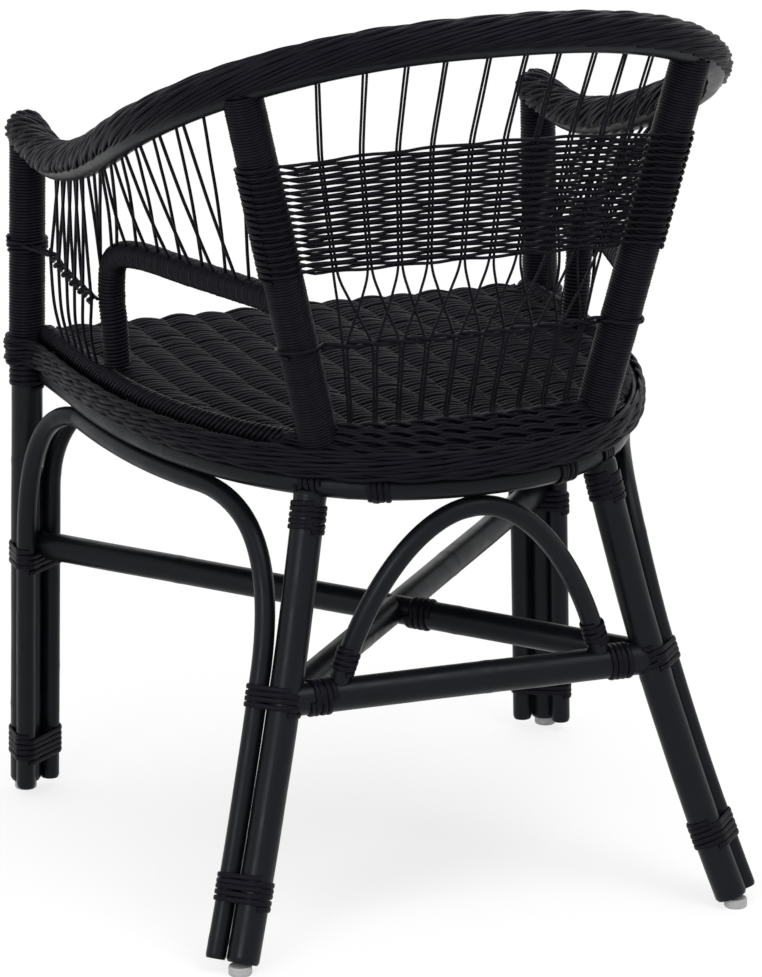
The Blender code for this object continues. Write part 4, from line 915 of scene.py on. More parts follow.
def seat_rows():
    """One line for each strand of the seat, with its upper side."""
    rows, aims = [], []
    for k in range(int(SEAT_RUN / SEAT_PITCH)):
        y, z, aim = seat_section(k * SEAT_PITCH)
        if y > STAKE_Y - 0.010:
            break
        half = seat_half_width(y)
        x = np.linspace(-half, half, int(2 * half / STRAND_STEP))
        way = 1 if k % 2 else -1
        wave = way * np.sin(math.pi * x / (RIB_GAP * rib_spread(y)))
        lift = SEAT_RISE * wave + chance.normal(0, LIFT_SPREAD) - SEAT_SINK
        shift = chance.normal(0, SHIFT_SPREAD) * aim[2]
        row = np.stack([x, np.full_like(x, y + shift), np.full_like(x, z)], 1)
        rows.append(row + lift[:, None] * aim)
        aims.append(np.tile(aim, (len(x), 1)))
    return rows, aims


SEAT_ROWS, SEAT_AIMS = seat_rows()
half_way = len(SEAT_ROWS) // 2
for name, part in (("seat_weave_front", slice(0, half_way)), ("seat_weave_back", slice(half_way, None))):
    weave(name, SEAT_ROWS[part], SEAT_STRAND, "seat_deck", outs=SEAT_AIMS[part],
          Flat=SEAT_FLAT, Wobble=0.0009, Wobble_Scale=55.0)
print(len(SEAT_ROWS), "seat strands")

# %% Backing of the front edge and ribs
BACKING_SINK = 0.0052
BACKING_PITCH = 0.0062
BACKING_RADIUS = 0.0040
BACKING_PAST_EDGE = 0.030
RIB_RADIUS = 0.0036
RIB_FLAT = 0.24


def front_backing(run):
    """A thick strand just inside the front edge, which closes the gaps of the weave there."""
    y, z, aim = seat_section(run)
    half = seat_half_width(y)
    middle = np.array((0.0, y, z)) - aim * BACKING_SINK
    return middle + np.outer(np.linspace(-half, half, 12), (1.0, 0.0, 0.0))


def rib_line(k):
    """A rib between two hollows of the weave, from the front edge to the stakes."""
    spots = np.linspace(SEAT_FRONT_Y + 0.012, STAKE_Y - 0.014, 24)
    line = np.array([((k + 0.5) * RIB_GAP * rib_spread(y), y, SEAT_LEVEL) for y in spots])
    return line[[abs(x) < seat_half_width(y) for x, y, _ in line]]


BACKING_RUNS = np.arange(0.002, SEAT_FACE + BEND_LENGTH + BACKING_PAST_EDGE, BACKING_PITCH)
weave("seat_front_backing", [front_backing(run) for run in BACKING_RUNS], BACKING_RADIUS, "seat_deck")
RIBS = [rib for rib in map(rib_line, range(-8, 8)) if len(rib) > 3]
RIB_AIMS = [np.tile(UP, (len(rib), 1)) for rib in RIBS]
weave("seat_ribs", RIBS, RIB_RADIUS, "seat_deck", outs=RIB_AIMS, Flat=RIB_FLAT)

# %% [markdown]
# ## Apron and skirt
# Twined rows run round the hoop. Each row is two strands that twist round each other, in long
# strokes at the back and shorter ones along the sides. They could be one twisted rope profile, but
# two real strands give the dark slits between strokes. Between the back posts the rows climb up a
# sloping skirt to the stakes, and every row crosses midway between two stakes.

# %% Apron rows
APRON_ROWS = 5
APRON_LOWEST = 0.0125
APRON_GAP = 0.00475
APRON_OUT = 0.0170
APRON_BULGE = 0.0016
APRON_STRAND = 0.00195
APRON_REACH = POLE_RADIUS + 0.0038
SIDE_STROKE = 0.058
BACK_STROKE = 0.100
TWIST_OUT = 0.0012
TWIST_UP = 0.0016


def round_post(side):
    """From inside a front post round its front to its outer side, level with the hoop."""
    centre = front_axis(HOOP_HEIGHT, side)
    turns = np.linspace(-1.25 * math.pi, 0.40 * math.pi, 40)
    return np.array([centre + APRON_REACH * np.array((side * math.cos(t), math.sin(t), 0)) for t in turns])


def apron_line(out):
    """The hoop's line moved outwards, with its ends carried round the front posts."""
    side_line = even(HOOP_PATH, 0.004)
    line = side_line + outward(side_line) * out
    line = line[line[:, 1] > FRONT_POST_Y + 0.021]
    return even(np.concatenate([round_post(1), line, round_post(-1)[::-1]]), 0.004)


def twist(path, pitch, phase):
    """Two strands that twist round each other; their outer strokes rise along the path."""
    turn = 2 * math.pi * np.cumsum(np.gradient(lengths(path)) / pitch) + phase
    strands = []
    for half_turn in (0, math.pi):
        swing = outward(path) * (TWIST_OUT * np.sin(turn + half_turn))[:, None]
        strands.append(path + swing - UP * (TWIST_UP * np.cos(turn + half_turn))[:, None])
    return strands


def apron_rows():
    rows = []
    for k in range(APRON_ROWS):
        across = (k - (APRON_ROWS - 1) / 2) / ((APRON_ROWS - 1) / 2)
        path = apron_line(APRON_OUT + APRON_BULGE * (1 - across**2))
        path = path + UP * (APRON_LOWEST + k * APRON_GAP)
        at_back = np.clip((path[:, 1] - 0.03) / 0.13, 0, 1)
        rows += twist(path, mix(SIDE_STROKE, BACK_STROKE, at_back), k * 2.1 + chance.uniform(0, 1.5))
    return rows


weave("apron_rows", apron_rows(), APRON_STRAND, "seat_apron", Wobble=0.0013, Wobble_Scale=40.0)

# %% Apron backing
APRON_BACKING_RADIUS = 0.0044
APRON_BACKING_PLACES = ((0.0095, 0.0125), (0.0110, 0.0175), (0.0115, 0.0225), (0.0110, 0.0265))
BACKING_LINE = even(HOOP_PATH, 0.006)
APRON_BACKING = [BACKING_LINE + outward(BACKING_LINE) * out + UP * lift for out, lift in APRON_BACKING_PLACES]
weave("apron_backing", APRON_BACKING, APRON_BACKING_RADIUS, "seat_apron")

# %% Skirt between the back posts
PAIRS = 10
SPREAD = 0.735
SKIRT_FOOT_SPAN = 0.158
SKIRT_FOOT_STEP = np.array((0, 0.0150, 0.0300))
SKIRT_TOP_STEP = np.array((0, 0.0040, 0.0010))
SKIRT_NORMAL = np.array((0.0, 0.50, 0.866))
SKIRT_UPHILL = np.array((0.0, -0.866, 0.50))
SKIRT_BELLY = 0.0032
SKIRT_STRAND = 0.00165
SKIRT_SWING = 0.0021
SKIRT_ROW_SHARES = (0.13, 0.37, 0.61, 0.86)
SKIRT_BACKING_SHARES = (0.0, 0.17, 0.34, 0.51, 0.68, 0.85, 1.0)
SKIRT_BACKING_SINK = 0.0068
SKIRT_BACKING_RADIUS = 0.0050


def stake_line(u):
    """The top edge of the skirt, where the stakes stand; u is -1 and 1 at the posts."""
    return np.array((u * POST_FOOT[0], STAKE_Y - (STAKE_Y - POST_FOOT[1]) * u * u, SKIRT_TOP))


def foot_spot(u):
    """The stakes lean a little to the left at the seat."""
    return u + 0.042 + 0.03 * u - 0.06 * u * u


def skirt_point(u, share):
    """A point of the sloping skirt: 0 at the apron's top edge, 1 at the stakes."""
    low = hoop_point_at_x(u * SKIRT_FOOT_SPAN) + SKIRT_FOOT_STEP
    high = stake_line(u) + SKIRT_TOP_STEP
    return mix(low, high, share) + SKIRT_NORMAL * SKIRT_BELLY * 4 * share * (1 - share)


def stake_count(u):
    """Which stake a spot is at, as a number that grows by one from pair to pair."""
    return (u / SPREAD + 1) / 2 * (PAIRS - 1)


def skirt_rows():
    """Four twined rows over one stake and under the next; all but the top one have doubled canes."""
    spots = np.linspace(-1.02, 1.02, 150)
    rows = []
    for k, share in enumerate(SKIRT_ROW_SHARES):
        line = np.array([skirt_point(foot_spot(u), share) for u in spots])
        turn = math.pi * (stake_count(spots) + k)
        doubled = (0.0,) if share == SKIRT_ROW_SHARES[-1] else (-SKIRT_STRAND, SKIRT_STRAND)
        for way in (1, -1):
            over = SKIRT_NORMAL * (way * SKIRT_SWING * np.cos(turn))[:, None]
            up = SKIRT_UPHILL * (way * SKIRT_SWING * np.sin(turn))[:, None]
            rows += [line + over + up + SKIRT_UPHILL * step for step in doubled]
    return rows


def skirt_backing(share):
    spots = np.linspace(-1, 1, 50)
    return np.array([skirt_point(u, share) - SKIRT_NORMAL * SKIRT_BACKING_SINK for u in spots])


weave("skirt_rows", skirt_rows(), SKIRT_STRAND, "seat_apron", Wobble=0.0012, Wobble_Scale=50.0)
SKIRT_BACKING = [skirt_backing(share) for share in SKIRT_BACKING_SHARES]
weave("skirt_backing", SKIRT_BACKING, SKIRT_BACKING_RADIUS, "seat_apron")

# %% [markdown]
# ## Openwork back
# Ten pairs of canes stand between the back posts. They cross below the band, where a twined row
# holds them, and run straight through the band up to the rail. The band's weavers pass in front of
# one pair and behind the next, and turn round the posts at both ends. A plate with a see-through
# texture would be lighter to make, but here gaps are real gaps, so the light comes through the
# slits as it does on the chair.

# %% The back panel's surface
BAND_LOW = 0.586
BAND_HIGH = 0.6915
BAND_ARCH = 0.0145
BAND_NARROWS = 0.10


def panel_point(u, z):
    """A point of the curved back panel between the posts."""
    post = post_axis(z, 1)
    low, high = stake_line(0), rail_point_at_x(0)
    middle_y = mix(low, high, (z - low[2]) / (high[2] - low[2]))[1]
    return np.array((u * post[0], middle_y - (middle_y - post[1]) * u * u, z))


def band_height(share, u):
    """A height in the band, which arches up in the middle and narrows at the posts."""
    middle = (BAND_LOW + BAND_HIGH) / 2
    half = (BAND_HIGH - BAND_LOW) / 2 * (1 - BAND_NARROWS * u * u)
    return middle + share * half - BAND_ARCH * u * u


print("band from", BAND_LOW, "to", BAND_HIGH, "m in the middle")

# %% Back canes
CANE_RADIUS = 0.0012
PAIR_STEP = 0.0015
PAIR_SPREAD = 0.006
CROSS_EASE = 0.012
CROSS_ROOM = 0.0012
CROSS_LENGTH = 0.015
ROW_HEIGHT = 0.517
RAIL_UNDER = UP * 0.012


def eased(points, ease, step):
    """Straight runs with eased corners."""
    points = [np.asarray(point, float) for point in points]
    line = [points[0]]
    for before, corner, after in zip(points, points[1:], points[2:]):
        start, end = [corner + unit(p - corner) * min(ease, 0.45 * np.linalg.norm(p - corner))
                      for p in (before, after)]
        line += bend(start, corner, end)
    return even(line + [points[-1]], step)


def beside_pair(u, z, way):
    """One cane's place beside the middle of its pair."""
    return panel_point(u, z) + np.array((way * PAIR_STEP, 0, 0))


def back_cane(u, way, lower, side):
    """A cane from the rail at one pair, through the band, to the foot of its own or the next pair."""
    top_u = u - 0.05 * (1 - u * u) - 0.005
    top = rail_point_at_x(top_u * post_axis(RAIL_BACK_HEIGHT, 1)[0])[2] - RAIL_UNDER[2]
    end = skirt_point(foot_spot(lower), 0.05) + np.array((side * PAIR_STEP, 0, -0.001))
    line = eased([beside_pair(top_u, top, way), beside_pair(u, band_height(1, u), way),
                  beside_pair(u, band_height(-1, u) - 0.004, way), beside_pair(lower, ROW_HEIGHT, side),
                  beside_pair(foot_spot(lower), SKIRT_TOP - 0.002, side), end], CROSS_EASE, 0.005)
    crossing = np.exp(-((line[:, 2] - mix(ROW_HEIGHT, BAND_LOW, 0.5)) / CROSS_LENGTH) ** 2)
    return line + np.outer(crossing * way * CROSS_ROOM, (0, 1, 0))


def back_canes():
    """Twenty canes from the rail to the seat; each crosses to the next pair's foot below the band."""
    spots = np.linspace(-SPREAD, SPREAD, PAIRS) + chance.normal(0, PAIR_SPREAD, PAIRS)
    paths = []
    for i, u in enumerate(spots):
        for way in (-1, 1):
            lower, side = (spots[i + way], -way) if 0 <= i + way < PAIRS else (u, way)
            paths.append(back_cane(u, way, lower, side))
    return paths


weave("back_canes", back_canes(), CANE_RADIUS, "back_panel", Wobble=0.0016, Wobble_Scale=14.0)

# %% Back band
BAND_ROWS = 34
BAND_STRAND = 0.00142
BAND_SWING = 0.0025
BAND_END = 0.84
BAND_SETTLES = 0.08
HOOK_REACH = 0.0182
HOOK_START = 0.30 * math.pi
HOOK_END = 1.25 * math.pi
HOOK_FALL = 0.0016


def post_hook(spot, side, front):
    """The end of a weaver, round a back post from its inner side, over its front or its back."""
    centre = post_axis(spot[2], side)
    turns = np.linspace(HOOK_START, HOOK_END, 26)
    fall = HOOK_FALL * (turns - HOOK_START)
    return np.stack([centre[0] - side * HOOK_REACH * np.cos(turns),
                     centre[1] + front * HOOK_REACH * np.sin(turns), spot[2] - fall], 1)


def band_rows():
    spots = np.linspace(-BAND_END, BAND_END, 170)
    rows = []
    for k in range(BAND_ROWS):
        share = 2 * (k + 0.5) / BAND_ROWS - 1
        line = np.array([panel_point(u, band_height(share, u)) for u in spots])
        settled = np.clip((BAND_END - np.abs(spots)) / BAND_SETTLES, 0, 1)
        line[:, 1] += BAND_SWING * np.cos(math.pi * (stake_count(spots) + k)) * settled
        line[:, 2] += chance.normal(0, 0.0002)
        front = 1 if k % 2 else -1
        ends = [post_hook(line[end], side, front) for end, side in ((0, -1), (-1, 1))]
        rows.append(np.concatenate([ends[0][::-1], line, ends[1]]))
    return rows


weave("back_band", band_rows(), BAND_STRAND, "back_panel", Wobble=0.0009, Wobble_Scale=60.0)

# %% Back twined row
ROW_STRAND = 0.0017
ROW_REACH = 0.0019


def twined(line, count, reach):
    """Two strands that change places once for each whole number of the count."""
    out = outward(line)
    turn = math.pi * count
    return [line + out * (way * reach * np.cos(turn))[:, None] + UP * (way * reach * np.sin(turn))[:, None]
            for way in (1, -1)]


def back_row():
    spots = np.linspace(0.86, -0.86, 160)
    line = np.array([panel_point(u, ROW_HEIGHT + 0.001 - 0.003 * u * u) for u in spots])
    strands = []
    for k, strand in enumerate(twined(line, stake_count(spots), ROW_REACH)):
        front = 1 if k else -1
        ends = [post_hook(strand[end], side, front * side) for end, side in ((0, 1), (-1, -1))]
        strands.append(np.concatenate([ends[0][::-1], strand, ends[1]]))
    return strands


weave("back_twined_row", back_row(), ROW_STRAND, "back_panel", Wobble=0.0008, Wobble_Scale=50.0)

# %% [markdown]
# ## Openwork sides
# Ahead of each arm loop, canes fan down from the rail in pairs to a twined row, and one cane runs on
# from each spot of the row to the roll. Behind it, one upright and one leaning cane start from each
# spot of the rail and end on the arm loop, so the leaning ones pass over two uprights. Copies of one
# cane along the rail would be quicker, but every cane here has its own length and slant, so each is
# drawn between its own two spots.

# %% Front side canes
SIDE_STAKE = 0.00150
FRONT_TOPS_Y = np.linspace(-0.1465, -0.0641, 5)
FRONT_PAIR_GAP = 0.0095
ROW_SPOTS_Y = np.linspace(-0.201, -0.089, 6)
ROW_SPOT_SHARES = np.linspace(0.46, 0.36, 6)
FRONT_FEET_Y = np.linspace(-0.188, -0.098, 6)
ROW_PAIR_STEP = 0.0011
STAKE_EASE = 0.008


def row_spots(side):
    """Where the canes pass the twined row, between the roll and the rail."""
    return np.array([mix(hoop_point(y, side, ROLL_HEIGHT), rail_point(y, side), share)
                     for y, share in zip(ROW_SPOTS_Y, ROW_SPOT_SHARES)])


def front_side_lines(side):
    """The canes ahead of an arm loop: pairs down to the row, and single ones from there to the roll."""
    row = row_spots(side)
    feet = [hoop_point(y, side, ROLL_HEIGHT + 0.004) for y in FRONT_FEET_Y]
    along = unit(row[-1] - row[0]) * ROW_PAIR_STEP
    paths = []
    for k, y in enumerate(FRONT_TOPS_Y):
        for top_y, spot, foot, step in ((y, row[k + 1], feet[k + 1], -along),
                                        (y + FRONT_PAIR_GAP, row[k], feet[k], along)):
            top = rail_point(top_y, side) - RAIL_UNDER
            paths.append(eased([top, spot + step, mix(spot, foot, 0.06) + step], STAKE_EASE, 0.005))
    for spot, foot in zip(row, feet):
        bow = mix(spot, foot, 0.55) + np.array((side * 0.0035, 0.0, 0.0))
        paths.append(smooth_line([spot + UP * 0.006, spot - UP * 0.006, bow, foot], 0.005))
    return paths


print(len(front_side_lines(1)), "canes ahead of each arm loop")

# %% Side twined rows
SIDE_ROW_STRAND = 0.0016
SIDE_ROW_REACH = 0.0034
TIE_TURNS = 3
TIE_REACH = 0.0174
TIE_PITCH = 0.0036


def side_row(spots, side):
    """An open twined row from the front post; its strands change places twice from stake to stake."""
    start = front_axis(spots[0][2] + 0.003, side) + np.array((side * 0.006, 0.0150, 0))
    end = spots[-1] + (spots[-1] - spots[-2]) * 0.35
    line = smooth_line([start, *spots, end], 0.0015)
    count = np.interp(line[:, 1], spots[:, 1], np.arange(len(spots)), left=-0.5, right=5.4)
    return twined(line, 2 * count, SIDE_ROW_REACH)


def post_tie(spot, side):
    """A strand tied round a front post where the twined row starts."""
    centre = front_axis(spot[2], side)
    angles = np.linspace(0, 2 * math.pi * TIE_TURNS, 40 * TIE_TURNS)
    level = TIE_PITCH * (angles / (2 * math.pi) - TIE_TURNS / 2)
    return np.stack([centre[0] + TIE_REACH * np.cos(angles), centre[1] + TIE_REACH * np.sin(angles),
                     spot[2] + level], 1)


for word, side in SIDES:
    spots = row_spots(side)
    weave(f"front_side_stakes_{word}", front_side_lines(side), SIDE_STAKE, f"front_side_canes_{word}",
          Wobble=0.0016, Wobble_Scale=14.0)
    rows = side_row(spots, side) + [post_tie(spots[0] + UP * 0.002, side)]
    weave(f"side_twined_row_{word}", rows, SIDE_ROW_STRAND, f"front_side_canes_{word}",
          Wobble=0.0008, Wobble_Scale=50.0)

# %% Rear side canes
REAR_TOPS = 8
REAR_TOPS_Y = (0.0053, 0.200)
REAR_FEET_Y = np.concatenate([[-0.080], np.linspace(-0.0728, 0.1297, REAR_TOPS - 1)])
LEAN_TOP_STEP = 0.007
LEAN_FOOT_STEP = 0.010
SIDE_ROOM = 0.0012
CORNER_TOPS_Y = (0.002, -0.018, -0.040)
CORNER_FEET_Z = (0.538, 0.531, 0.516)
CORNER_STEP = np.array((0.005, -0.007, 0))


def at_y(line, y):
    order = np.argsort(line[:, 1])
    return np.array([np.interp(y, line[order, 1], line[order, k]) for k in range(3)])


def rear_side_lines(side):
    """Uprights and leaning canes from the rail to the arm loop's run."""
    edge = np.array([rail_point(y, side) for y in np.linspace(*REAR_TOPS_Y, 60)])
    tops = even(edge, lengths(edge)[-1] / (REAR_TOPS - 1)) - RAIL_UNDER
    loop = loop_path(side)
    run = loop[loop[:, 2] > LOOP_CORNER[2] - LOOP_BEND / 2]
    outside = np.array((side * SIDE_ROOM, 0.0, 0.0))
    paths = []
    for k, top in enumerate(tops):
        foot = at_y(run, REAR_FEET_Y[k])
        paths.append(smooth_line([top, mix(top, foot, 0.5) - outside * 2, foot - outside], 0.005))
        if k + 2 < REAR_TOPS:
            start = rail_point(top[1] + LEAN_TOP_STEP, side) - RAIL_UNDER
            foot = at_y(run, REAR_FEET_Y[k + 2] - LEAN_FOOT_STEP)
            paths.append(smooth_line([start, mix(start, foot, 0.5) + outside * 2, foot + outside], 0.005))
    return paths


def corner_lines(side):
    """Straight canes from the rail to the arm loop's upright, below its bend."""
    paths = []
    for y, z in zip(CORNER_TOPS_Y, CORNER_FEET_Z):
        share = (z - LOOP_FOOT[2]) / (LOOP_CORNER[2] - LOOP_FOOT[2])
        foot = (mix(LOOP_FOOT, LOOP_CORNER, share) + CORNER_STEP) * (side, 1, 1)
        paths.append(even([rail_point(y, side) - RAIL_UNDER, foot], 0.005))
    return paths


for word, side in SIDES:
    weave(f"rear_side_stakes_{word}", rear_side_lines(side) + corner_lines(side), SIDE_STAKE,
          f"rear_side_canes_{word}", Wobble=0.0018, Wobble_Scale=14.0)

# %% [markdown]
# ## Braided rail
# Strands come up from the outside edge, cross the top and tuck under on the inside. They lie almost
# along the rail at the back and steeper on the arms, and rise over and sink under their neighbours,
# so each shows as a row of long strokes. At the arm tips a second set runs the other way underneath.
# A twisted tube would show even grooves; strands of their own can dive and end.

# %% A strand on the rail
BRAID_STRAND = 0.0021
BRAID_HALF_WIDTH = 0.0190
BRAID_TOP = 0.0180
LIP = math.radians(42)
WRAP_ANGLE = math.pi + 2 * LIP
STRAND_ANGLE = math.radians(12)
EDGE_TUCK = 0.80
TIP_TUCK = 0.45
TIP_ROUND = 0.016

BRAID_PATH = even(RAIL_PATH, 0.004)
BRAID_OUT = outward(BRAID_PATH)
BRAID_LIFT = unit(np.cross(BRAID_OUT, tangents(BRAID_PATH)))
BRAID_RUN = lengths(BRAID_PATH)
FROM_TIP = np.minimum(BRAID_RUN, BRAID_RUN[-1] - BRAID_RUN)


def braid_line(climb, rise, wanted=True, way=-1):
    """A strand on the rail's cover, drawn in at its edges and its tips."""
    angle = climb - LIP if way < 0 else math.pi - (climb - LIP)
    on = (angle > -LIP) & (angle < math.pi + LIP) & wanted
    angle = np.clip(angle, -LIP, math.pi + LIP)
    edge = np.clip(np.minimum(angle + LIP, math.pi + LIP - angle) / 0.35, 0, 1)
    tip = np.clip(FROM_TIP / TIP_ROUND, 0, 1)
    tuck = mix(EDGE_TUCK, 1.0, edge) * mix(TIP_TUCK, 1.0, np.sqrt(1 - (1 - tip) ** 2))
    wide = (BRAID_HALF_WIDTH - BRAID_STRAND) * tuck + rise
    high = (BRAID_TOP - BRAID_STRAND) * tuck + rise
    across = BRAID_OUT * (wide * np.cos(angle))[:, None]
    above = BRAID_LIFT * (high * np.sin(angle))[:, None]
    return (BRAID_PATH + across + above)[on]


def long_enough(strands):
    return [strand for strand in strands if len(strand) >= 6]


print("braid covers", round(math.degrees(WRAP_ANGLE)), "degrees of the rail")

# %% Rail braid
BACK_PASS = 0.38
ARM_PASS = 0.15
BACK_WAVE = 0.085
TIP_WAVE = 0.046
BACK_SWING = 0.0009
TIP_SWING = 0.0014
TIP_ZONE = 0.18
BRAID_SINK = 0.0006


def braid_strands():
    from_middle = np.abs(BRAID_RUN / BRAID_RUN[-1] - 0.5) * 2
    pass_length = mix(BACK_PASS, ARM_PASS, np.clip((from_middle - 0.35) / 0.5, 0, 1))
    turn = np.cumsum(np.gradient(BRAID_RUN) * WRAP_ANGLE / pass_length)
    near_tip = np.clip(1 - FROM_TIP / TIP_ZONE, 0, 1)
    wave = 2 * math.pi * np.cumsum(np.gradient(BRAID_RUN) / mix(BACK_WAVE, TIP_WAVE, near_tip))
    swing = mix(BACK_SWING, TIP_SWING, near_tip)
    strands = []
    for k in range(-int(WRAP_ANGLE / STRAND_ANGLE), int(turn[-1] / STRAND_ANGLE)):
        rise = swing * np.sin(wave + math.pi * k + 0.7 * math.sin(k * 2.1)) - BRAID_SINK
        strands.append(braid_line(turn - k * STRAND_ANGLE, rise))
    return long_enough(strands)


weave("rail_braid", braid_strands(), BRAID_STRAND, "top_rail_braid", Wobble=0.0009, Wobble_Scale=40.0)

# %% Weave of the arm tips
TIP_STRAND = 0.0018
TIP_SPAN = 0.125
TIP_PASS = 0.12
TIP_STRAND_ANGLE = 1.6 * STRAND_ANGLE
TIP_RISE = 0.0007
TIP_RISE_WAVE = 0.030
TIP_SINK = 0.0012


def tip_strands():
    """The second set at both arm tips, turning the other way, mostly under the first."""
    strands = []
    for reach, way in ((BRAID_RUN, 1), (BRAID_RUN[-1] - BRAID_RUN, -1)):
        turn = reach * WRAP_ANGLE / TIP_PASS
        for k in range(-24, 16):
            rise = TIP_RISE * np.sin(2 * math.pi * reach / TIP_RISE_WAVE + math.pi * k) - TIP_SINK
            strands.append(braid_line(turn - k * TIP_STRAND_ANGLE, rise, reach < TIP_SPAN, way))
    return long_enough(strands)


weave("rail_tip_weave", tip_strands(), TIP_STRAND, "top_rail_braid", Wobble=0.0008, Wobble_Scale=40.0)

# %% [markdown]
# ## Glides
# Four small grey discs keep the main poles off the floor. A bevelled cylinder would do; here the
# cane tree makes them too, from a short upright line whose radius rounds off at both ends.

# %% Glides
GLIDE_PROFILE = np.array(((0.0, 0.0091), (0.0006, 0.0097), (0.0015, 0.0100),
                          (0.0065, 0.0100), (0.0074, 0.0097), (0.0080, 0.0091)))
SCUFF_SCALE = 350.0
GLIDE_DARK = 0.24
GLIDE_PALE = 0.40


def make_glide_grey():
    """Scuffed grey plastic."""
    grey = bpy.data.materials.new("glide grey")
    grey.use_nodes = True
    tree = grey.node_tree
    shader = tree.nodes["Principled BSDF"]
    place = node(tree, "ShaderNodeTexCoord").outputs["Object"]
    scuffs = node(tree, "ShaderNodeTexNoise", {"Vector": place, "Scale": SCUFF_SCALE, "Detail": 4.0})
    shade = node(tree, "ShaderNodeMapRange",
                 {"Value": scuffs.outputs[0], "To Min": GLIDE_DARK, "To Max": GLIDE_PALE}).outputs[0]
    colour = node(tree, "ShaderNodeCombineColor", {"Red": shade, "Green": shade, "Blue": shade})
    tree.links.new(colour.outputs[0], shader.inputs["Base Color"])
    shader.inputs["Roughness"].default_value = 0.45
    return grey


GLIDE_GREY = make_glide_grey()
for word, side in SIDES:
    for name, axis in (("front_glide", front_axis), ("back_glide", leg_axis)):
        line = axis(0, side) + np.outer(GLIDE_PROFILE[:, 0], UP)
        cane(f"{name}_{word}_disc", [line], [GLIDE_PROFILE[:, 1]], "grey_glide", f"{name}_{word}",
             GLIDE_GREY, Sides=32)

# %% [markdown]
# ## Floor, light and camera
# A plain pale floor and soft light from above. What the camera, reflections and glass see of the
# background is white, so the floor fades to plain white away from the chair and keeps the chair's
# own shadow. More light would also turn the floor white, but it would wash out the black paint, so
# the light on the chair stays at a plain level.

# %% Background and floor
WORLD_LIGHT = 0.95
WHITE = (1.0, 1.0, 1.0, 1)
FLOOR_COLOUR = (0.97, 0.97, 0.97, 1)
FLOOR_HALF = 12
FADE_DISTANCE = 0.66
FADE_START = 0.5


def seen_rays(tree):
    """One for camera, glossy and transmission rays, nought for the rest."""
    path = node(tree, "ShaderNodeLightPath")
    seen = maths(tree, "MAXIMUM", path.outputs["Is Camera Ray"], path.outputs["Is Glossy Ray"])
    return maths(tree, "MAXIMUM", seen, path.outputs["Is Transmission Ray"])


def make_world():
    world = bpy.data.worlds.new("studio")
    bpy.context.scene.world = world
    world.use_nodes = True
    tree = world.node_tree
    tree.nodes.clear()
    soft = node(tree, "ShaderNodeBackground", {"Color": WHITE, "Strength": WORLD_LIGHT})
    white = node(tree, "ShaderNodeBackground", {"Color": WHITE, "Strength": 1.0})
    both = node(tree, "ShaderNodeMixShader", {0: seen_rays(tree), 1: soft.outputs[0], 2: white.outputs[0]})
    end = tree.nodes.new("ShaderNodeOutputWorld")
    tree.links.new(both.outputs[0], end.inputs[0])


def make_pale_floor():
    """Pale near the chair, where its shadow falls, and plain white further out."""
    pale = bpy.data.materials.new("pale floor")
    pale.use_nodes = True
    tree = pale.node_tree
    shader = tree.nodes["Principled BSDF"]
    shader.inputs["Base Color"].default_value = FLOOR_COLOUR
    shader.inputs["Roughness"].default_value = 0.9
    shader.inputs["Specular IOR Level"].default_value = 0.0
    place = node(tree, "ShaderNodeTexCoord").outputs["Object"]
    distance = node(tree, "ShaderNodeVectorMath", {0: place}, operation="LENGTH").outputs["Value"]
    fade = node(tree, "ShaderNodeMapRange",
                {"Value": distance, "From Min": 0.0, "From Max": FADE_DISTANCE, "To Min": FADE_START},
                interpolation_type="SMOOTHSTEP").outputs[0]
    white = node(tree, "ShaderNodeEmission", {"Color": WHITE, "Strength": 1.0})
    share = maths(tree, "MULTIPLY", fade, seen_rays(tree))
    both = node(tree, "ShaderNodeMixShader", {0: share, 1: shader.outputs[0], 2: white.outputs[0]})
    tree.links.new(both.outputs[0], tree.nodes["Material Output"].inputs["Surface"])
    return pale


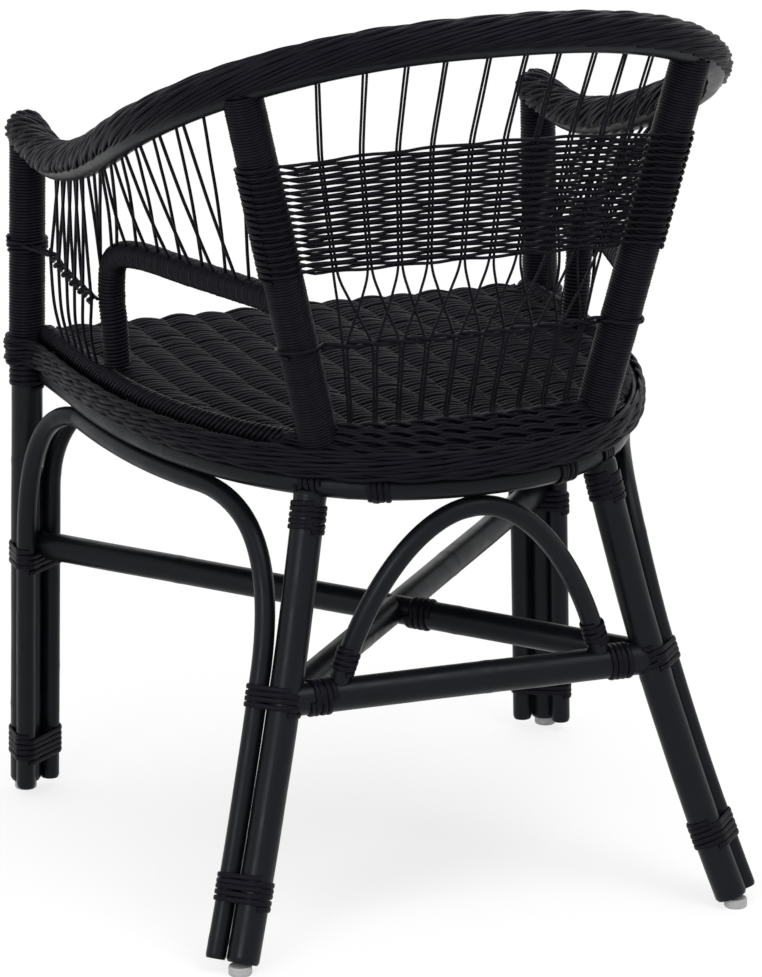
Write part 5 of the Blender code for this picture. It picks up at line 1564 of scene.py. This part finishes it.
def make_floor():
    mesh = bpy.data.meshes.new("floor")
    corners = [(x * FLOOR_HALF, y * FLOOR_HALF, 0) for x, y in ((-1, -1), (1, -1), (1, 1), (-1, 1))]
    mesh.from_pydata(corners, [], [(0, 1, 2, 3)])
    mesh.materials.append(make_pale_floor())
    floor = bpy.data.objects.new("floor", mesh)
    bpy.context.scene.collection.objects.link(floor)


make_world()
make_floor()
print("floor and world ready")

# %% Lamps and camera
AIM = Vector((0.00176, -0.0101, 0.3269))
TO_CAMERA = Vector((0.33787, 0.89678, 0.28574)).normalized()
RIGHT = Vector((-0.93579, 0.35257, 0)).normalized()
OVER = TO_CAMERA.cross(RIGHT)
CAMERA_DISTANCE = 4.875
LENS = 205.15


def make_lamp(name, step, size, power):
    """A round soft lamp at a step from the chair's middle, aimed at it."""
    lamp = bpy.data.lights.new(name, "AREA")
    lamp.shape = "DISK"
    lamp.size = size
    lamp.energy = power
    made = bpy.data.objects.new(name, lamp)
    turn = step.to_track_quat("Z", "Y").to_matrix().to_4x4()
    made.matrix_world = Matrix.Translation(AIM + step) @ turn
    bpy.context.scene.collection.objects.link(made)


def make_camera():
    """The camera at the photograph's angle."""
    lens = bpy.data.cameras.new("photo camera")
    lens.lens = LENS
    lens.sensor_width = 36.0
    lens.sensor_fit = "AUTO"
    lens.clip_end = 60.0
    camera = bpy.data.objects.new("photo camera", lens)
    turn = Matrix((RIGHT, OVER, TO_CAMERA)).transposed().to_4x4()
    camera.matrix_world = Matrix.Translation(AIM + TO_CAMERA * CAMERA_DISTANCE) @ turn
    bpy.context.scene.collection.objects.link(camera)
    bpy.context.scene.camera = camera


make_lamp("key", RIGHT * 0.9 + OVER * 1.7 + TO_CAMERA * 1.5, 1.2, 18)
make_lamp("fill", -RIGHT * 1.2 + OVER * 0.1 + TO_CAMERA * 2.2, 0.9, 14)
make_lamp("back", -TO_CAMERA * 1.6 + OVER * 2.0, 2.0, 7)
make_camera()
bpy.context.scene.view_settings.view_transform = "Standard"
print("camera", CAMERA_DISTANCE, "m from the chair's middle")
